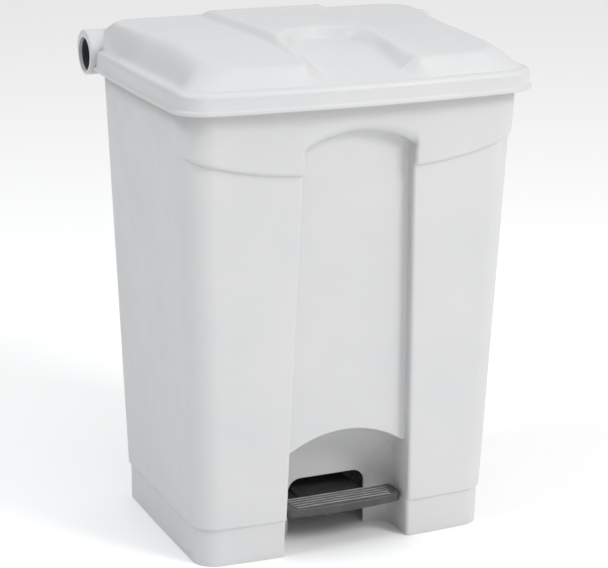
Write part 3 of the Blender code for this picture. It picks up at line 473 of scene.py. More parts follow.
def plan_outline(half, front, back, radius, front_bow, side_bow, inset, front_steps,
                 side_steps, arc_steps):
    """Rounded rectangle with a bowed front and sides, from the middle of the back clockwise."""
    half, front, back = half - inset, front - inset, back - inset
    radius = max(radius - inset, 0.002)
    middle, reach = (back - front) / 2, (back + front) / 2
    x_in, y_front, y_back = half - radius, -(front - radius), back - radius

    def swell(x, y):
        if y <= y_front - 1e-9:
            y -= front_bow * max(0.0, 1 - (x / (half - radius * 0.3)) ** 2)
        if abs(x) >= x_in - 1e-9:
            bulge = side_bow * max(0.0, 1 - ((y - middle) / reach) ** 2)
            ease = float(smoothstep(abs(x), x_in, half - 0.5 * radius))
            x += math.copysign(bulge * ease, x)
        return (x, y)

    points = []

    def run(start, end, count):
        points.extend((mix(start[0], end[0], i / count), mix(start[1], end[1], i / count))
                      for i in range(count))

    def corner(cx, cy, first):
        points.extend(arc(cx, cy, radius, first, first - 90, arc_steps)[:-1])

    run((0, back), (x_in, back), front_steps)
    corner(x_in, y_back, 90)
    run((half, y_back), (half, y_front), side_steps)
    corner(x_in, y_front, 0)
    run((x_in, -front), (-x_in, -front), 2 * front_steps)
    corner(-x_in, y_front, -90)
    run((-half, y_front), (-half, y_back), side_steps)
    corner(-x_in, y_back, -180)
    run((-x_in, back), (0, back), front_steps)
    return [swell(x, y) for x, y in points]


def body_loop(z, inset):
    return [(x, y, z) for x, y in
            plan_outline(*section(z), FRONT_BOW, SIDE_BOW, inset, 8, 8, 10)]


def plinth_loop(z, inset):
    row = PLINTH[0] if z < STEP_Z else PLINTH[1]
    return [(x, y, z) for x, y in
            plan_outline(*row[1:], FRONT_BOW, SIDE_BOW, inset, 8, 8, 10)]


def channel_block(grow):
    """What the channel and its arch keep out of the hollow, grown by the wall."""
    crown = [(x, float(arch_height(x, ARCH_HALF, ARCH_SPRING, ARCH_CROWN)) + grow)
             for x in np.linspace(ARCH_HALF, -ARCH_HALF, 25)]
    right = [(channel_half(z) + grow, z) for z in (BELOW, 0.514)]
    right += [(ARCH_HALF + grow, 0.520), (ARCH_HALF + grow, ARCH_SPRING)]
    outline = right + crown[1:-1] + [(-x, z) for x, z in reversed(right)]

    def back_y(z):
        return -(section(z)[1] + FRONT_BOW) + CHANNEL_DEPTH + grow

    return loft([[(x, -BEHIND, z) for x, z in outline],
                 [(x, back_y(z), z) for x, z in outline]])


def alcove_block(grow):
    loops = []
    depth = ALCOVE_BACK_Y - ALCOVE_MOUTH_Y
    for t in [-1.8] + list(np.linspace(0, 1, 20)):
        y = ALCOVE_MOUTH_Y + depth * t
        t = max(t, 0.0)
        drop = ALCOVE_DROP * (1 - math.sqrt(max(1 - t ** 2, 0.0)))
        into_corner = max(0.0, y - (ALCOVE_BACK_Y - ALCOVE_CORNER))
        pull = ALCOVE_CORNER - math.sqrt(max(ALCOVE_CORNER ** 2 - into_corner ** 2, 0.0))
        half = ALCOVE_HALF - pull + grow
        y += grow * t
        points = [(-half, y, BELOW), (half, y, BELOW)]
        for x in np.linspace(half, -half, 25):
            z = arch_height(x * ALCOVE_HALF / half, ALCOVE_HALF, ALCOVE_SPRING, ALCOVE_CROWN)
            points.append((x, y, float(z) - drop + grow))
        loops.append(points)
    return loft(loops)


def groove_block(grow):
    half, front, radius = GROOVE_HALF + grow, GROOVE_FRONT_Y - grow, GROOVE_CORNER
    outline = [(-half, BEHIND)]
    outline += arc(-half + radius, front + radius, radius, 180, 270, 8)
    outline += arc(half - radius, front + radius, radius, 270, 360, 8)
    return prism(outline + [(half, BEHIND)], BELOW, ABOVE, "Z")


def make_container():
    body = mesh_object("container_skin", container_outside())
    inside = [body_loop(FLOOR_TOP, WALL), body_loop(ABOVE, WALL)]
    underside = [plinth_loop(-0.01, WALL), plinth_loop(STEP_Z, WALL),
                 body_loop(FLOOR_UNDERSIDE, WALL + 0.003)]
    for loops in (inside, underside):
        hollow = mesh_object("hollow", loft(loops))
        for block in (channel_block, groove_block, alcove_block):
            carve(hollow, block(WALL))
        cut(body, hollow)

    slot = arc(-SLOT_HALF + SLOT_CORNER, SLOT_TOP - SLOT_CORNER, SLOT_CORNER, 180, 90, 14)
    slot += arc(SLOT_HALF - SLOT_CORNER, SLOT_TOP - SLOT_CORNER, SLOT_CORNER, 90, 0, 14)
    slot += [(SLOT_HALF, BELOW), (-SLOT_HALF, BELOW)]
    passage_half = GROOVE_HALF - 0.006
    passage = box_mesh((-passage_half, 0.09, BELOW), (passage_half, 0.13, 0.078))
    rear = [(HINGE_Y - BARREL_CLEARANCE, ABOVE)]
    rear += arc(HINGE_Y, HINGE_Z, BARREL_CLEARANCE, 180, 262, 24)
    rear += [(HINGE_Y, REAR_RIM_Z), (BEHIND, REAR_RIM_Z), (BEHIND, ABOVE)]
    carve(body, prism(slot, -0.090, -0.055, "Y"))
    carve(body, passage)
    carve(body, prism(rear, *ACROSS, "X"))
    shade(body, 32)
    return body


# ------ lid

def scoop_floor_z(y):
    """Floor of the thumb scoop: it rolls over towards the flange at the front."""
    t = np.clip((SCOOP_FLOOR_REAR_Y - y) / SCOOP_FLOOR_LENGTH, 0.0, 1.0)
    return mix(SCOOP_FLOOR_Z, FLANGE_Z, t ** SCOOP_ROLL)


def carve_scoop(x, y, z):
    """An arched hollow with a sloped wall, open to the front."""
    reach = np.hypot(x, np.maximum(y - SCOOP_Y, 0.0))
    sideways = abs(x) / np.maximum(reach, 1e-6)
    wall = mix(SCOOP_WALL_BACK, SCOOP_WALL_SIDE, smoothstep(sideways, 0.45, 1.0))
    inside = smoothstep((SCOOP_RADIUS - reach) / wall, 0.0, 1.0)
    return mix(z, np.minimum(z, scoop_floor_z(y)), inside)


def lid_top_z(x, y):
    """The domed top with its raised spine and the thumb scoop in the spine's front."""
    fall = np.maximum(0.0, (DOME_FALL_Y - y) / DOME_FALL_LENGTH)
    dome = DOME_REAR_Z - (DOME_REAR_Z - DOME_FRONT_Z) * fall ** DOME_FALL
    half = mix(SPINE_HALF_FRONT, SPINE_HALF_REAR, smoothstep(y, *SPINE_TAPER))
    side = 1 - smoothstep(abs(x), half - SPINE_EDGE, half)
    ends = (1 - smoothstep(y, *SPINE_REAR)) * smoothstep(y, *SPINE_FRONT)
    return carve_scoop(x, y, dome + SPINE_RISE * side * ends)


def coons_grid(ring, columns, rows):
    """Points blended in from a ring of 2 * (columns + rows) points round them. The ring
    starts at a grid corner and runs along a side of `columns` faces first."""
    ring = np.array(ring)[:, :2]
    top, right = ring[:columns + 1], ring[columns:columns + rows + 1]
    bottom = ring[columns + rows:2 * columns + rows + 1][::-1]
    left = np.vstack([ring[2 * columns + rows:], ring[:1]])[::-1]
    u = np.linspace(0, 1, columns + 1)[None, :, None]
    v = np.linspace(0, 1, rows + 1)[:, None, None]
    across = mix(left[:, None], right[:, None], u)
    along = mix(top[None], bottom[None], v)
    twist = mix(mix(top[0], top[-1], u), mix(bottom[0], bottom[-1], u), v)
    return across + along - twist


def soft_rise(t):
    """Share of the dome's height on its flanks, hollow at the foot and full at the top."""
    steps = np.linspace(0, 1, 101)
    slope = smoothstep(steps, *FLANK_HOLLOW) * (1 - FLANK_EASE * smoothstep(steps, *FLANK_FULL))
    return float(np.interp(t, steps, np.cumsum(slope) / np.sum(slope)))


def bevel_rise(t):
    """The same in front: a straight bevel that rounds over into the crease."""
    if t == 0:
        return 0.0
    if t < BEVEL_END:
        return BEVEL_FOOT + BEVEL_SLOPE * t
    return 1 - BEVEL_CREASE[0] * (1 - t) - BEVEL_CREASE[1] * (1 - t) ** 2


def lid_solid(wall, front_steps, side_steps, arc_steps, slope_steps):
    """The lid as a solid block. With wall = 0 it is the outer shape; with a wall it is
    the hollow to take out of that shape, and it reaches below the skirt."""
    steps = (front_steps, side_steps, arc_steps)
    radius = SHOULDER - wall

    def skirt(inset, z):
        plan = plan_outline(*LID_PLAN, LID_FRONT_BOW, LID_SIDE_BOW, inset, *steps)
        return [(x, y, z) for x, y in plan]

    if wall:
        loops = [skirt(LIP_PROUD + wall, SKIRT_BOTTOM - 0.01)]
    else:
        loops = [skirt(inset, SKIRT_BOTTOM + rise) for inset, rise in LIP]
    for turn in np.radians(np.linspace(0, 90, slope_steps + 1)):
        loops.append(skirt(LIP_PROUD + SHOULDER - radius * math.cos(turn),
                           FLANGE_Z - SHOULDER + radius * math.sin(turn)))
    foot, crease = (np.array(plan_outline(*plan, DOME_BOW, 0, DOME_INSET * wall, *steps))
                    for plan in (DOME_FOOT, DOME_CREASE))
    crease[:, 0] *= mix(1.0, CREASE_FLARE, smoothstep(crease[:, 1], *CREASE_FLARE_Y))
    low = mix(FLANGE_Z, DOME_REAR_FOOT_Z, smoothstep(foot[:, 1], *DOME_REAR_RAMP))
    flank = smoothstep(foot[:, 1], *FLANK_FRONT) * (1 - smoothstep(foot[:, 1], *FLANK_REAR))
    for t in np.linspace(0, 1, 2 * slope_steps + 1):
        plan = mix(foot, crease, t)
        rise = mix(bevel_rise(t), soft_rise(t), flank)
        height = mix(low, lid_top_z(crease[:, 0], crease[:, 1]), rise)
        height = carve_scoop(plan[:, 0], plan[:, 1], height) - wall
        loops.append(np.column_stack([plan, height]).tolist())
    bm = loft(loops, caps=(True, False))
    bm.verts.ensure_lookup_table()
    count = len(loops[0])
    start = front_steps + arc_steps // 2       # to the middle of the back right corner
    ring = list(bm.verts[-count:])
    ring = ring[-start:] + ring[:-start]
    columns, rows = 2 * front_steps + arc_steps, side_steps + arc_steps
    places = coons_grid([v.co for v in ring], columns, rows)
    heights = lid_top_z(places[:, :, 0], places[:, :, 1]) - wall
    grid = [ring[:columns + 1]]
    for j in range(1, rows):
        line = [bm.verts.new((*places[j, i], heights[j, i])) for i in range(1, columns)]
        grid.append([ring[-j], *line, ring[columns + j]])
    grid.append(ring[columns + rows:2 * columns + rows + 1][::-1])
    for low_row, high_row in zip(grid, grid[1:]):
        for i in range(columns):
            bm.faces.new((low_row[i], low_row[i + 1], high_row[i + 1], high_row[i]))
    return bm


def barrel_outline(first=0, last=119, inset=0.0):
    """Section of the barrel, as (y, z): round below, with a thicker hump on top."""
    angles = np.radians(3.0 * np.arange(first, last + 1))
    radius = mix(BARREL_RADIUS, HUMP_RADIUS, smoothstep(np.sin(angles), -0.3, 0.5)) - inset
    return list(zip((HINGE_Y + radius * np.cos(angles)).tolist(),
                    (HINGE_Z + radius * np.sin(angles)).tolist()))


def along_hinge(radius, start, end):
    return cylinder_mesh(radius, (start, HINGE_Y, HINGE_Z), (end, HINGE_Y, HINGE_Z), 96)


def notch_outline():
    """What a bracket's notch takes out of the lid, as (y, z)."""
    low, front, rear = 0.626, 0.118, 0.636
    first = math.degrees(math.asin((rear - HINGE_Z) / NOTCH_RADIUS))
    last = 180 - math.degrees(math.asin((low - HINGE_Z) / NOTCH_RADIUS))
    outline = [(front, 0.58), (0.200, 0.58), (0.200, rear)]
    outline += arc(HINGE_Y, HINGE_Z, NOTCH_RADIUS, first, last, 36)
    return outline + [(front, low)]


def make_barrel():
    """The barrel round the hinge tube, with the hump over it and the lift fin below."""
    loops = [[(BARREL_END - drop, y, z) for y, z in barrel_outline(inset=inset)]
             for inset, drop in rounded_edge(BARREL_EDGE)]
    loops += [[(-x, y, z) for x, y, z in loop] for loop in reversed(loops)]
    barrel = mesh_object("barrel", loft(loops))
    fin = [(LIFT_Y + FIN_HALF, FIN_TOP), (LIFT_Y - FIN_HALF, FIN_TOP)]
    fin += arc(LIFT_Y, LIFT_Z, LUG_NOSE, 180, 360, 20)
    return carve(barrel, prism(fin, -LUG_HALF, LUG_HALF, "X"), "UNION")


def make_lid():
    lid = mesh_object("lid_skin", lid_solid(0.0, 56, 80, 16, 12))
    cut(lid, mesh_object("hollow", lid_solid(LID_WALL, 24, 30, 8, 6)))
    behind = [(BEHIND, 0.55), (BEHIND, DOME_REAR_FOOT_Z), (HINGE_Y + 0.0240, DOME_REAR_FOOT_Z)]
    behind += reversed(barrel_outline(-30, 12, GAP))
    behind += [(HINGE_Y, 0.55)]
    carve(lid, prism(behind, *ACROSS, "X"))
    cut(lid, make_barrel(), "UNION")
    carve(lid, along_hinge(BARREL_BORE, *ACROSS))
    for side in (-1, 1):
        low, high = side * BRACKET_X - NOTCH_HALF, side * BRACKET_X + NOTCH_HALF
        carve(lid, prism(notch_outline(), low, high, "X"))
    shade(lid, 32)
    return lid


# ------ hinge, rod and small hardware

def turned(name, profile, base, direction, segments=32, ring=False):
    """Turn a profile of (radius, height) round an axis. A ring's profile is a closed loop."""
    angles = [2 * math.pi * i / segments for i in range(segments)]
    loops = [[(r * math.cos(a), r * math.sin(a), h) for a in angles] for r, h in profile]
    bm = loft(loops + loops[:1] if ring else loops, caps=(not ring, not ring))
    if ring:
        bmesh.ops.remove_doubles(bm, verts=bm.verts, dist=1e-7)
    turn = Vector((0, 0, 1)).rotation_difference(Vector(direction)).to_matrix().to_4x4()
    bm.transform(Matrix.Translation(base) @ turn)
    return mesh_object(name, bm)


def stands_for(piece, node, body, skin):
    """Hand a finished piece over: what it replaces, rides on and is made of."""
    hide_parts(node)
    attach(piece, body)
    piece.name = f"fine_{node}"
    piece.data.materials.clear()
    piece.data.materials.append(skin)
    return piece


def recoat(name, skin):
    """Give a CAD node that keeps its shape a finished material."""
    for slot in frame["nodes"][name].material_slots:
        slot.material = skin


def chamfered_bar(name, radius, start, end, chamfer=0.0005):
    along = Vector(end) - Vector(start)
    profile = [(radius - chamfer, 0), (radius, chamfer), (radius, along.length - chamfer),
               (radius - chamfer, along.length)]
    return turned(name, profile, start, along, 48)


def pivot_bar(name, radius, half):
    return chamfered_bar(name, radius, (-half, PIVOT_Y, PIVOT_Z), (half, PIVOT_Y, PIVOT_Z))


def make_hinge_tube():
    inner, outer, half = TUBE_INNER, TUBE_OUTER, TUBE_HALF
    lip = 0.0005
    profile = [(inner, 0), (inner, 2 * half), (outer - lip, 2 * half),
               (outer, 2 * half - lip), (outer, lip), (outer - lip, 0)]
    return turned("tube", profile, (-half, HINGE_Y, HINGE_Z), (1, 0, 0), 96, ring=True)


def make_bracket(side):
    """Its ring carries the hinge tube; its plate is screwed to the container's back."""
    low, high = 0.540, 0.5905
    outline = [(section(low)[2] + GAP, low), (PLATE_Y - 0.0008, low),
               (PLATE_Y, low + 0.0008), (PLATE_Y, 0.605), (0.1640, 0.605), (0.1640, 0.5960),
               (section(high)[2] + 0.0006, high)]
    middle = side * BRACKET_X
    near, far = middle - BRACKET_HALF, middle + BRACKET_HALF
    bracket = mesh_object("bracket", prism(outline, near, far, "X"))
    carve(bracket, along_hinge(BRACKET_RING, near, far), "UNION")
    carve(bracket, along_hinge(TUBE_OUTER + GAP, near - 0.01, far + 0.01))
    for z in BRACKET_SCREW_Z:
        carve(bracket, cylinder_mesh(SCREW_HOLE, (middle, PLATE_Y - 0.03, z),
                                     (middle, PLATE_Y + 0.01, z)))
    return bracket


def make_clip(side):
    """A push-on clip on the axle's end."""
    bore, rim, chamfer = AXLE_RADIUS + GAP, CLIP_RADIUS, 0.0003
    profile = [(bore, 0), (bore, CLIP_THICK), (rim - chamfer, CLIP_THICK),
               (rim, CLIP_THICK - chamfer), (rim, chamfer), (rim - chamfer, 0)]
    return turned("clip", profile, (side * CLIP_X, PIVOT_Y, PIVOT_Z), (side, 0, 0), 48, True)


def screw_places():
    """Every screw's node, with the seat of its head and its length as a vector."""
    groove_y, inward = GROOVE_FRONT_Y + GAP + GUIDE_DEPTH, FLOOR_TOP - FLANGE_SEAT_Z - GAP
    sides = (-1, 1)
    places = {
        "bracket": [((side * BRACKET_X, PLATE_Y, z),
                     (0, -(PLATE_Y - section(z)[2] + WALL - GAP), 0))
                    for side in sides for z in BRACKET_SCREW_Z],
        "guide": [((side * GUIDE_SCREW_X, groove_y, z), (0, -(GUIDE_DEPTH + WALL), 0))
                  for z in GUIDE_HEIGHTS for side in sides],
        "axle_block": [((side * AXLE_BLOCK_X, PIVOT_Y + y, FLANGE_SEAT_Z), (0, 0, inward))
                       for side in sides for y in AXLE_SCREW_Y]}
    return {f"{kind}_screw_{number}": place for kind, spots in places.items()
            for number, place in enumerate(spots, 1)}


def make_screw(seat, shank):
    """A pan-head screw with a cross recess and a thread."""
    length = Vector(shank).length
    profile = [(0.0002, -length), (SCREW_RADIUS * 0.55, -length + 0.0012)]
    pitch, height = 0.0009, -length + 0.0018
    while height < -0.0012:
        profile += [(SCREW_RADIUS * 0.80, height), (SCREW_RADIUS, height + pitch / 2)]
        height += pitch
    profile += [(SCREW_RADIUS * 0.85, GAP), (HEAD_RADIUS - 0.0002, GAP), (HEAD_RADIUS, 0.0006),
                (HEAD_RADIUS * 0.96, 0.0012), (HEAD_RADIUS * 0.85, 0.0017),
                (HEAD_RADIUS * 0.62, 0.0021), (HEAD_RADIUS * 0.3, 0.00235),
                (0.0002, HEAD_HEIGHT)]
    screw = turned("screw", profile, (0, 0, 0), (0, 0, 1))
    for long_x, long_y in ((0.0022, 0.0005), (0.0005, 0.0022)):
        carve(screw, box_mesh((-long_x, -long_y, HEAD_HEIGHT - 0.0013),
                              (long_x, long_y, 0.004)))
    turn = Vector((0, 0, -1)).rotation_difference(Vector(shank)).to_matrix().to_4x4()
    screw.data.transform(Matrix.Translation(seat) @ turn)
    shade(screw, 40)
    return screw


# ------ pedal

def tread_outline(inset=0.0):
    """Plan of the tread: round front corners, small rear corners and a bowed front."""
    half, y_back, y_front = TREAD_HALF - inset, TREAD_BACK_Y - inset, TREAD_FRONT_Y + inset
    front_in, back_in = TREAD_FRONT_CORNER - inset, TREAD_BACK_CORNER - inset
    points = arc(half - back_in, y_back - back_in, back_in, 90, 0, 8)
    points += arc(half - front_in, y_front + TREAD_BOW + front_in, front_in, 0, -90, 16)
    reach = half - front_in
    bow = [(x, y_front + TREAD_BOW * (x / reach) ** 2)
           for x in np.linspace(reach, -reach, 41)[1:-1]]
    return points + bow + [(-x, y) for x, y in reversed(points)]


def make_pedal():
    """One moulding: ribbed tread, flat lever through the slot, hub and sloping rear arm."""
    rounded = rounded_edge(TREAD_EDGE)
    levels = [(inset, TREAD_BOTTOM + drop) for inset, drop in rounded]
    levels += [(inset, TREAD_TOP - drop) for inset, drop in reversed(rounded)]
    loops = [[(x, y, z) for x, y in tread_outline(inset)] for inset, z in levels]
    pedal = mesh_object("pedal_skin", loft(loops))
    depth = TREAD_BACK_Y - TREAD_FRONT_Y
    for i in range(RIB_COUNT):
        y = TREAD_FRONT_Y + depth * (i + 1.15) / (RIB_COUNT + 0.9)
        half = TREAD_HALF - 0.016 + 0.0015 * i
        steps = np.radians(np.linspace(4, 90, 6))
        tip = [(RIB_HEIGHT * math.sin(a), RIB_HEIGHT * (1 - math.cos(a))) for a in steps]
        profile = tip + [(r, 2 * half - h) for r, h in reversed(tip)]
        rib = turned("rib", profile, (-half, y, TREAD_TOP), (1, 0, 0), 24)
        cut(pedal, rib, "UNION")
    plate = box_mesh((-LEVER_HALF, TREAD_BACK_Y - 0.006, LEVER_BOTTOM),
                     (LEVER_HALF, PIVOT_Y, LEVER_TOP))
    carve(pedal, softened(plate), "UNION")
    cut(pedal, pivot_bar("hub", HUB_RADIUS, LEVER_HALF), "UNION")
    slope = (PIN_Z - PIVOT_Z) / (LIFT_Y - PIVOT_Y)

    def arm_z(y):
        return PIVOT_Z + slope * (y - PIVOT_Y)

    for half, start, end, thick in ((0.016, PIVOT_Y, 0.112, 0.0060),
                                    (BLADE_HALF, 0.100, 0.140, 0.0070)):
        outline = [(start, arm_z(start) - thick), (end, arm_z(end) - thick),
                   (end, arm_z(end) + thick), (start, arm_z(start) + thick)]
        carve(pedal, softened(prism(outline, -half, half, "X")), "UNION")
    carve(pedal, cylinder_mesh(HUB_BORE, (-0.1, PIVOT_Y, PIVOT_Z), (0.1, PIVOT_Y, PIVOT_Z)))
    radius = PIN_RADIUS + 0.0009
    slot = arc(LIFT_Y - PIN_SLOT / 2, PIN_Z + 0.0004, radius, 90, 270, 16)
    slot += arc(LIFT_Y + PIN_SLOT / 4, PIN_Z - 0.0003, radius, -90, 90, 16)
    carve(pedal, prism(slot, -0.02, 0.02, "X"))
    shade(pedal, 32)
    return pedal


# ------ materials

def node(tree, kind, inputs, **settings):
    """Add a shader node; each input is a plain value or another node's output."""
    made = tree.nodes.new(kind)
    for name, value in settings.items():
        setattr(made, name, value)
    for name, value in inputs.items():
        if isinstance(value, bpy.types.NodeSocket):
            tree.links.new(value, made.inputs[name])
        else:
            made.inputs[name].default_value = value
    return made


def new_material(name, roughness, metallic=0.0):
    made = bpy.data.materials.new(name)
    made.use_nodes = True
    shader = made.node_tree.nodes["Principled BSDF"]
    shader.inputs["Metallic"].default_value = metallic
    shader.inputs["Roughness"].default_value = roughness
    return made, made.node_tree, shader


def object_place(tree, stretch=(1, 1, 1)):
    """Position on the piece in metres, squeezed along an axis to draw out a pattern."""
    place = node(tree, "ShaderNodeTexCoord", {}).outputs["Object"]
    return node(tree, "ShaderNodeMapping", {"Vector": place, "Scale": stretch}).outputs[0]


def noise(tree, place, scale, detail):
    return node(tree, "ShaderNodeTexNoise", {"Vector": place, "Scale": scale,
                                             "Detail": detail}).outputs["Fac"]


def remap(tree, value, low, high, to_low=0.0, to_high=1.0):
    return node(tree, "ShaderNodeMapRange", {"Value": value, "From Min": low, "From Max": high,
                                             "To Min": to_low, "To Max": to_high}).outputs[0]


def patches(tree, place, scale, detail, low=0.3, high=0.7, *levels):
    """Noise, spread out from between low and high."""
    return remap(tree, noise(tree, place, scale, detail), low, high, *levels)


def times(tree, a, b):
    return node(tree, "ShaderNodeMath", {0: a, 1: b}, operation="MULTIPLY").outputs[0]


def tint(tree, factor, first, second):
    """Mix two colours, each (r, g, b) or the output of an earlier tint."""
    colours = [c if isinstance(c, bpy.types.NodeSocket) else (*c, 1) for c in (first, second)]
    return node(tree, "ShaderNodeMix", {0: factor, 6: colours[0], 7: colours[1]},
                data_type="RGBA").outputs[2]


def coat(tree, shader, colour, roughness, *layers):
    """Link colour, roughness and bump layers, each (height, distance in metres)."""
    tree.links.new(colour, shader.inputs["Base Color"])
    tree.links.new(roughness, shader.inputs["Roughness"])
    normal = None
    for height, distance in layers:
        inputs = {"Height": height, "Distance": distance, "Strength": 1.0}
        if normal:
            inputs["Normal"] = normal
        normal = node(tree, "ShaderNodeBump", inputs).outputs["Normal"]
    tree.links.new(normal, shader.inputs["Normal"])


def height_on(tree, place):
    return node(tree, "ShaderNodeSeparateXYZ", {"Vector": place}).outputs["Z"]


def moulded_white():
    """Matt white polypropylene: cloudy tone, spark-eroded grain, scuffs near the floor."""
    made, tree, shader = new_material("white_polypropylene", 0.46)
    place = object_place(tree)
    clouds = patches(tree, place, 7.0, 3.0, 0.35, 0.65)
    colour = tint(tree, clouds, (0.544, 0.546, 0.552), (0.564, 0.564, 0.565))
    fine = patches(tree, place, 90.0, 5.0)
    colour = tint(tree, times(tree, fine, 0.10), colour, (0.512, 0.512, 0.517))
    specks = patches(tree, place, 420.0, 2.0, 0.735, 0.76)
    colour = tint(tree, times(tree, specks, 0.30), colour, (0.52, 0.51, 0.49))
    scuffs = patches(tree, object_place(tree, (1, 1, 9)), 26.0, 6.0, 0.60, 0.72)
    low_down = remap(tree, height_on(tree, place), 0.015, 0.070, 1.0, 0.06)
    colour = tint(tree, times(tree, times(tree, scuffs, low_down), 0.16), colour,
                  (0.47, 0.46, 0.44))
    roughness = patches(tree, place, 38.0, 4.0, 0.3, 0.7, 0.40, 0.52)
    grain = noise(tree, place, 850.0, 2.0)
    sink = noise(tree, place, 13.0, 1.0)
    coat(tree, shader, colour, roughness, (sink, 0.0009), (grain, 0.00008))
    return made


def moulded_charcoal(name, worn_and_sheen_above=None):
    """Satin charcoal polypropylene; what stands above a height is rubbed paler. The rib tops'
    paleness is partly wear and partly a painted highlight.
    """
    made, tree, shader = new_material(name, 0.42)
    place = object_place(tree)
    mottle = patches(tree, place, 60.0, 5.0)
    colour = tint(tree, mottle, (0.036, 0.036, 0.039), (0.052, 0.052, 0.055))
    dust = patches(tree, place, 300.0, 6.0, 0.55, 0.78, 0.0, 0.30)
    colour = tint(tree, dust, colour, (0.11, 0.11, 0.11))
    if worn_and_sheen_above:
        low, high = worn_and_sheen_above
        trodden = remap(tree, height_on(tree, place), low - 0.0016, low - 0.0006, 0.0, 0.55)
        colour = tint(tree, trodden, colour, (0.12, 0.12, 0.123))
        # Rib tops tinted paler in patches: partly rubbed wear, partly a painted highlight
        # standing in for their shine.
        high = remap(tree, height_on(tree, place), low, high)
        patchy = patches(tree, object_place(tree, (1, 4, 4)), 70.0, 4.0, 0.3, 0.6, 0.45, 1.0)
        colour = tint(tree, times(tree, high, patchy), colour, (0.33, 0.33, 0.335))
    roughness = patches(tree, place, 110.0, 4.0, 0.3, 0.7, 0.34, 0.52)
    coat(tree, shader, colour, roughness, (noise(tree, place, 1000.0, 2.0), 0.00010))
    return made


def natural_nylon():
    """Creamy nylon with faint flow marks."""
    made, tree, shader = new_material("natural_nylon", 0.38)
    place = object_place(tree)
    flow = patches(tree, object_place(tree, (1, 1, 5)), 70.0, 4.0)
    colour = tint(tree, flow, (0.60, 0.58, 0.52), (0.65, 0.63, 0.585))
    grime = patches(tree, place, 160.0, 6.0, 0.58, 0.75, 0.0, 0.45)
    colour = tint(tree, grime, colour, (0.36, 0.34, 0.30))
    roughness = remap(tree, flow, 0, 1, 0.32, 0.46)
    coat(tree, shader, colour, roughness, (noise(tree, place, 1200.0, 2.0), 0.00006))
    return made


def zinc_plate(name, stretch):
    """Zinc-plated steel, drawn or turned along the axis that the stretch squeezes."""
    made, tree, shader = new_material(name, 0.30, 1.0)
    place = object_place(tree)
    drawn = object_place(tree, stretch)
    cloud = patches(tree, place, 130.0, 5.0)
    colour = tint(tree, cloud, (0.55, 0.56, 0.585), (0.66, 0.655, 0.63))
    tarnish = patches(tree, place, 45.0, 7.0, 0.56, 0.72, 0.0, 0.4)
    colour = tint(tree, tarnish, colour, (0.36, 0.34, 0.31))
    lines = noise(tree, drawn, 900.0, 3.0)
    coat(tree, shader, colour, remap(tree, lines, 0.3, 0.7, 0.22, 0.40), (lines, 0.00003))
    return made


# ------ stage, light and camera

def area_light(name, place, target, size, power, colour):
    data = bpy.data.lights.new(name, "AREA")
    data.shape = "RECTANGLE"
    data.size, data.size_y = size
    data.energy = power
    data.color = colour
    light = bpy.data.objects.new(name, data)
    light.location = place
    light.rotation_euler = (Vector(target) - Vector(place)).to_track_quat("-Z", "Y").to_euler()
    bpy.context.scene.collection.objects.link(light)


def make_floor():
    bm = bmesh.new()
    bmesh.ops.create_grid(bm, x_segments=1, y_segments=1, size=FLOOR_HALF)
    floor = mesh_object("floor", bm)
    made, _, shader = new_material("pale_floor", 0.7)
    shader.inputs["Base Color"].default_value = (0.97, 0.97, 0.97, 1)
    floor.data.materials.append(made)


def make_studio():
    """Soft light from all round, strongest from the front right and weak from the left."""
    bpy.context.scene.view_settings.view_transform = "Standard"
    world = bpy.data.worlds.new("studio")
    bpy.context.scene.world = world
    world.use_nodes = True
    tree = world.node_tree
    place = node(tree, "ShaderNodeTexCoord", {}).outputs["Generated"]
    toward = node(tree, "ShaderNodeVectorMath", {0: place, 1: BRIGHT_SIDE},
                  operation="DOT_PRODUCT").outputs["Value"]
    background = tree.nodes["Background"]
    background.inputs["Color"].default_value = (1, 1, 1, 1)
    tree.links.new(remap(tree, toward, *WORLD_TURN, *WORLD_LEVELS),
                   background.inputs["Strength"])
    for name, settings in LIGHTS.items():
        area_light(name, *settings)


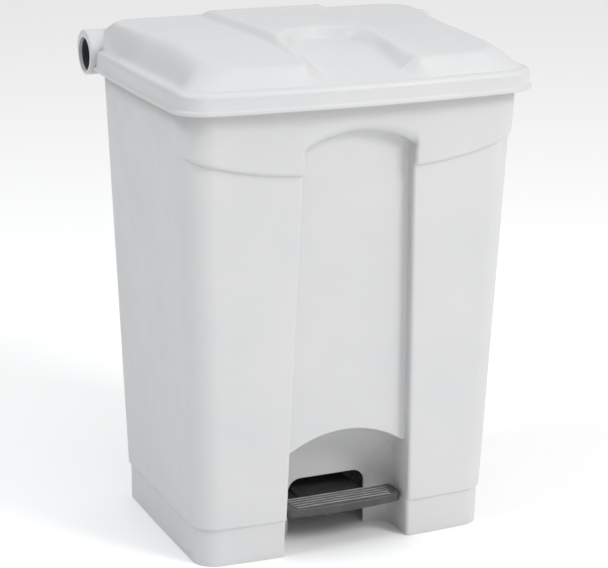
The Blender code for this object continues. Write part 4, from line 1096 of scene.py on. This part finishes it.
def make_camera():
    """The camera's distance and lens follow from the real object's size in the view."""
    data = bpy.data.cameras.new("camera")
    data.sensor_width, data.lens = CAMERA_SENSOR, CAMERA_LENS
    data.shift_x, data.shift_y = CAMERA_SHIFT
    camera = bpy.data.objects.new("camera", data)
    yaw, pitch, roll = np.radians(CAMERA_TURN).tolist()
    ahead = Vector((math.sin(yaw) * math.cos(pitch), math.cos(yaw) * math.cos(pitch),
                    math.sin(pitch)))
    right = Vector((math.cos(yaw), -math.sin(yaw), 0))
    up = right.cross(ahead)
    across = math.cos(roll) * right + math.sin(roll) * up
    upward = -math.sin(roll) * right + math.cos(roll) * up
    turn = Matrix((across, upward, -ahead)).transposed().to_4x4()
    camera.matrix_world = Matrix.Translation(CAMERA_PLACE) @ turn
    bpy.context.scene.collection.objects.link(camera)
    bpy.context.scene.camera = camera


# ------ build

WHITE = moulded_white()
CHARCOAL = moulded_charcoal("charcoal_polypropylene")
TREAD = moulded_charcoal("pedal_polypropylene", (TREAD_TOP + 0.0006, TREAD_TOP + 0.0015))
NYLON = natural_nylon()
DRAWN_ZINC = zinc_plate("drawn_zinc_plate", (1, 1, 0.02))
TURNED_ZINC = zinc_plate("turned_zinc_plate", (0.05, 1, 1))

stands_for(make_container(), "container_body", "container", WHITE)
stands_for(make_lid(), "lid", "lid", WHITE)
stands_for(make_hinge_tube(), "hinge_tube", "container", CHARCOAL)
for side, name in ((-1, "left"), (1, "right")):
    stands_for(make_bracket(side), f"hinge_bracket_{name}", "container", WHITE)
    stands_for(make_clip(side), f"axle_clip_{name}", "container", TURNED_ZINC)
for name, (seat, shank) in screw_places().items():
    stands_for(make_screw(seat, shank), name, "container", TURNED_ZINC)
rod = chamfered_bar("rod", ROD_RADIUS, (0, LIFT_Y, ROD_FOOT_Z), (0, LIFT_Y, ROD_TOP_Z))
stands_for(rod, "lift_rod", "rod", DRAWN_ZINC)
axle = pivot_bar("axle", AXLE_RADIUS, AXLE_HALF)
stands_for(axle, "pivot_axle", "container", TURNED_ZINC)
stands_for(make_pedal(), "pedal", "pedal", TREAD)
for name in ("rod_guide_lower", "rod_guide_upper", "rod_cap", "rod_clevis"):
    recoat(name, NYLON)
for name in ("axle_block_left", "axle_block_right"):
    recoat(name, CHARCOAL)
recoat("clevis_pin", TURNED_ZINC)
make_floor()
make_studio()
make_camera()
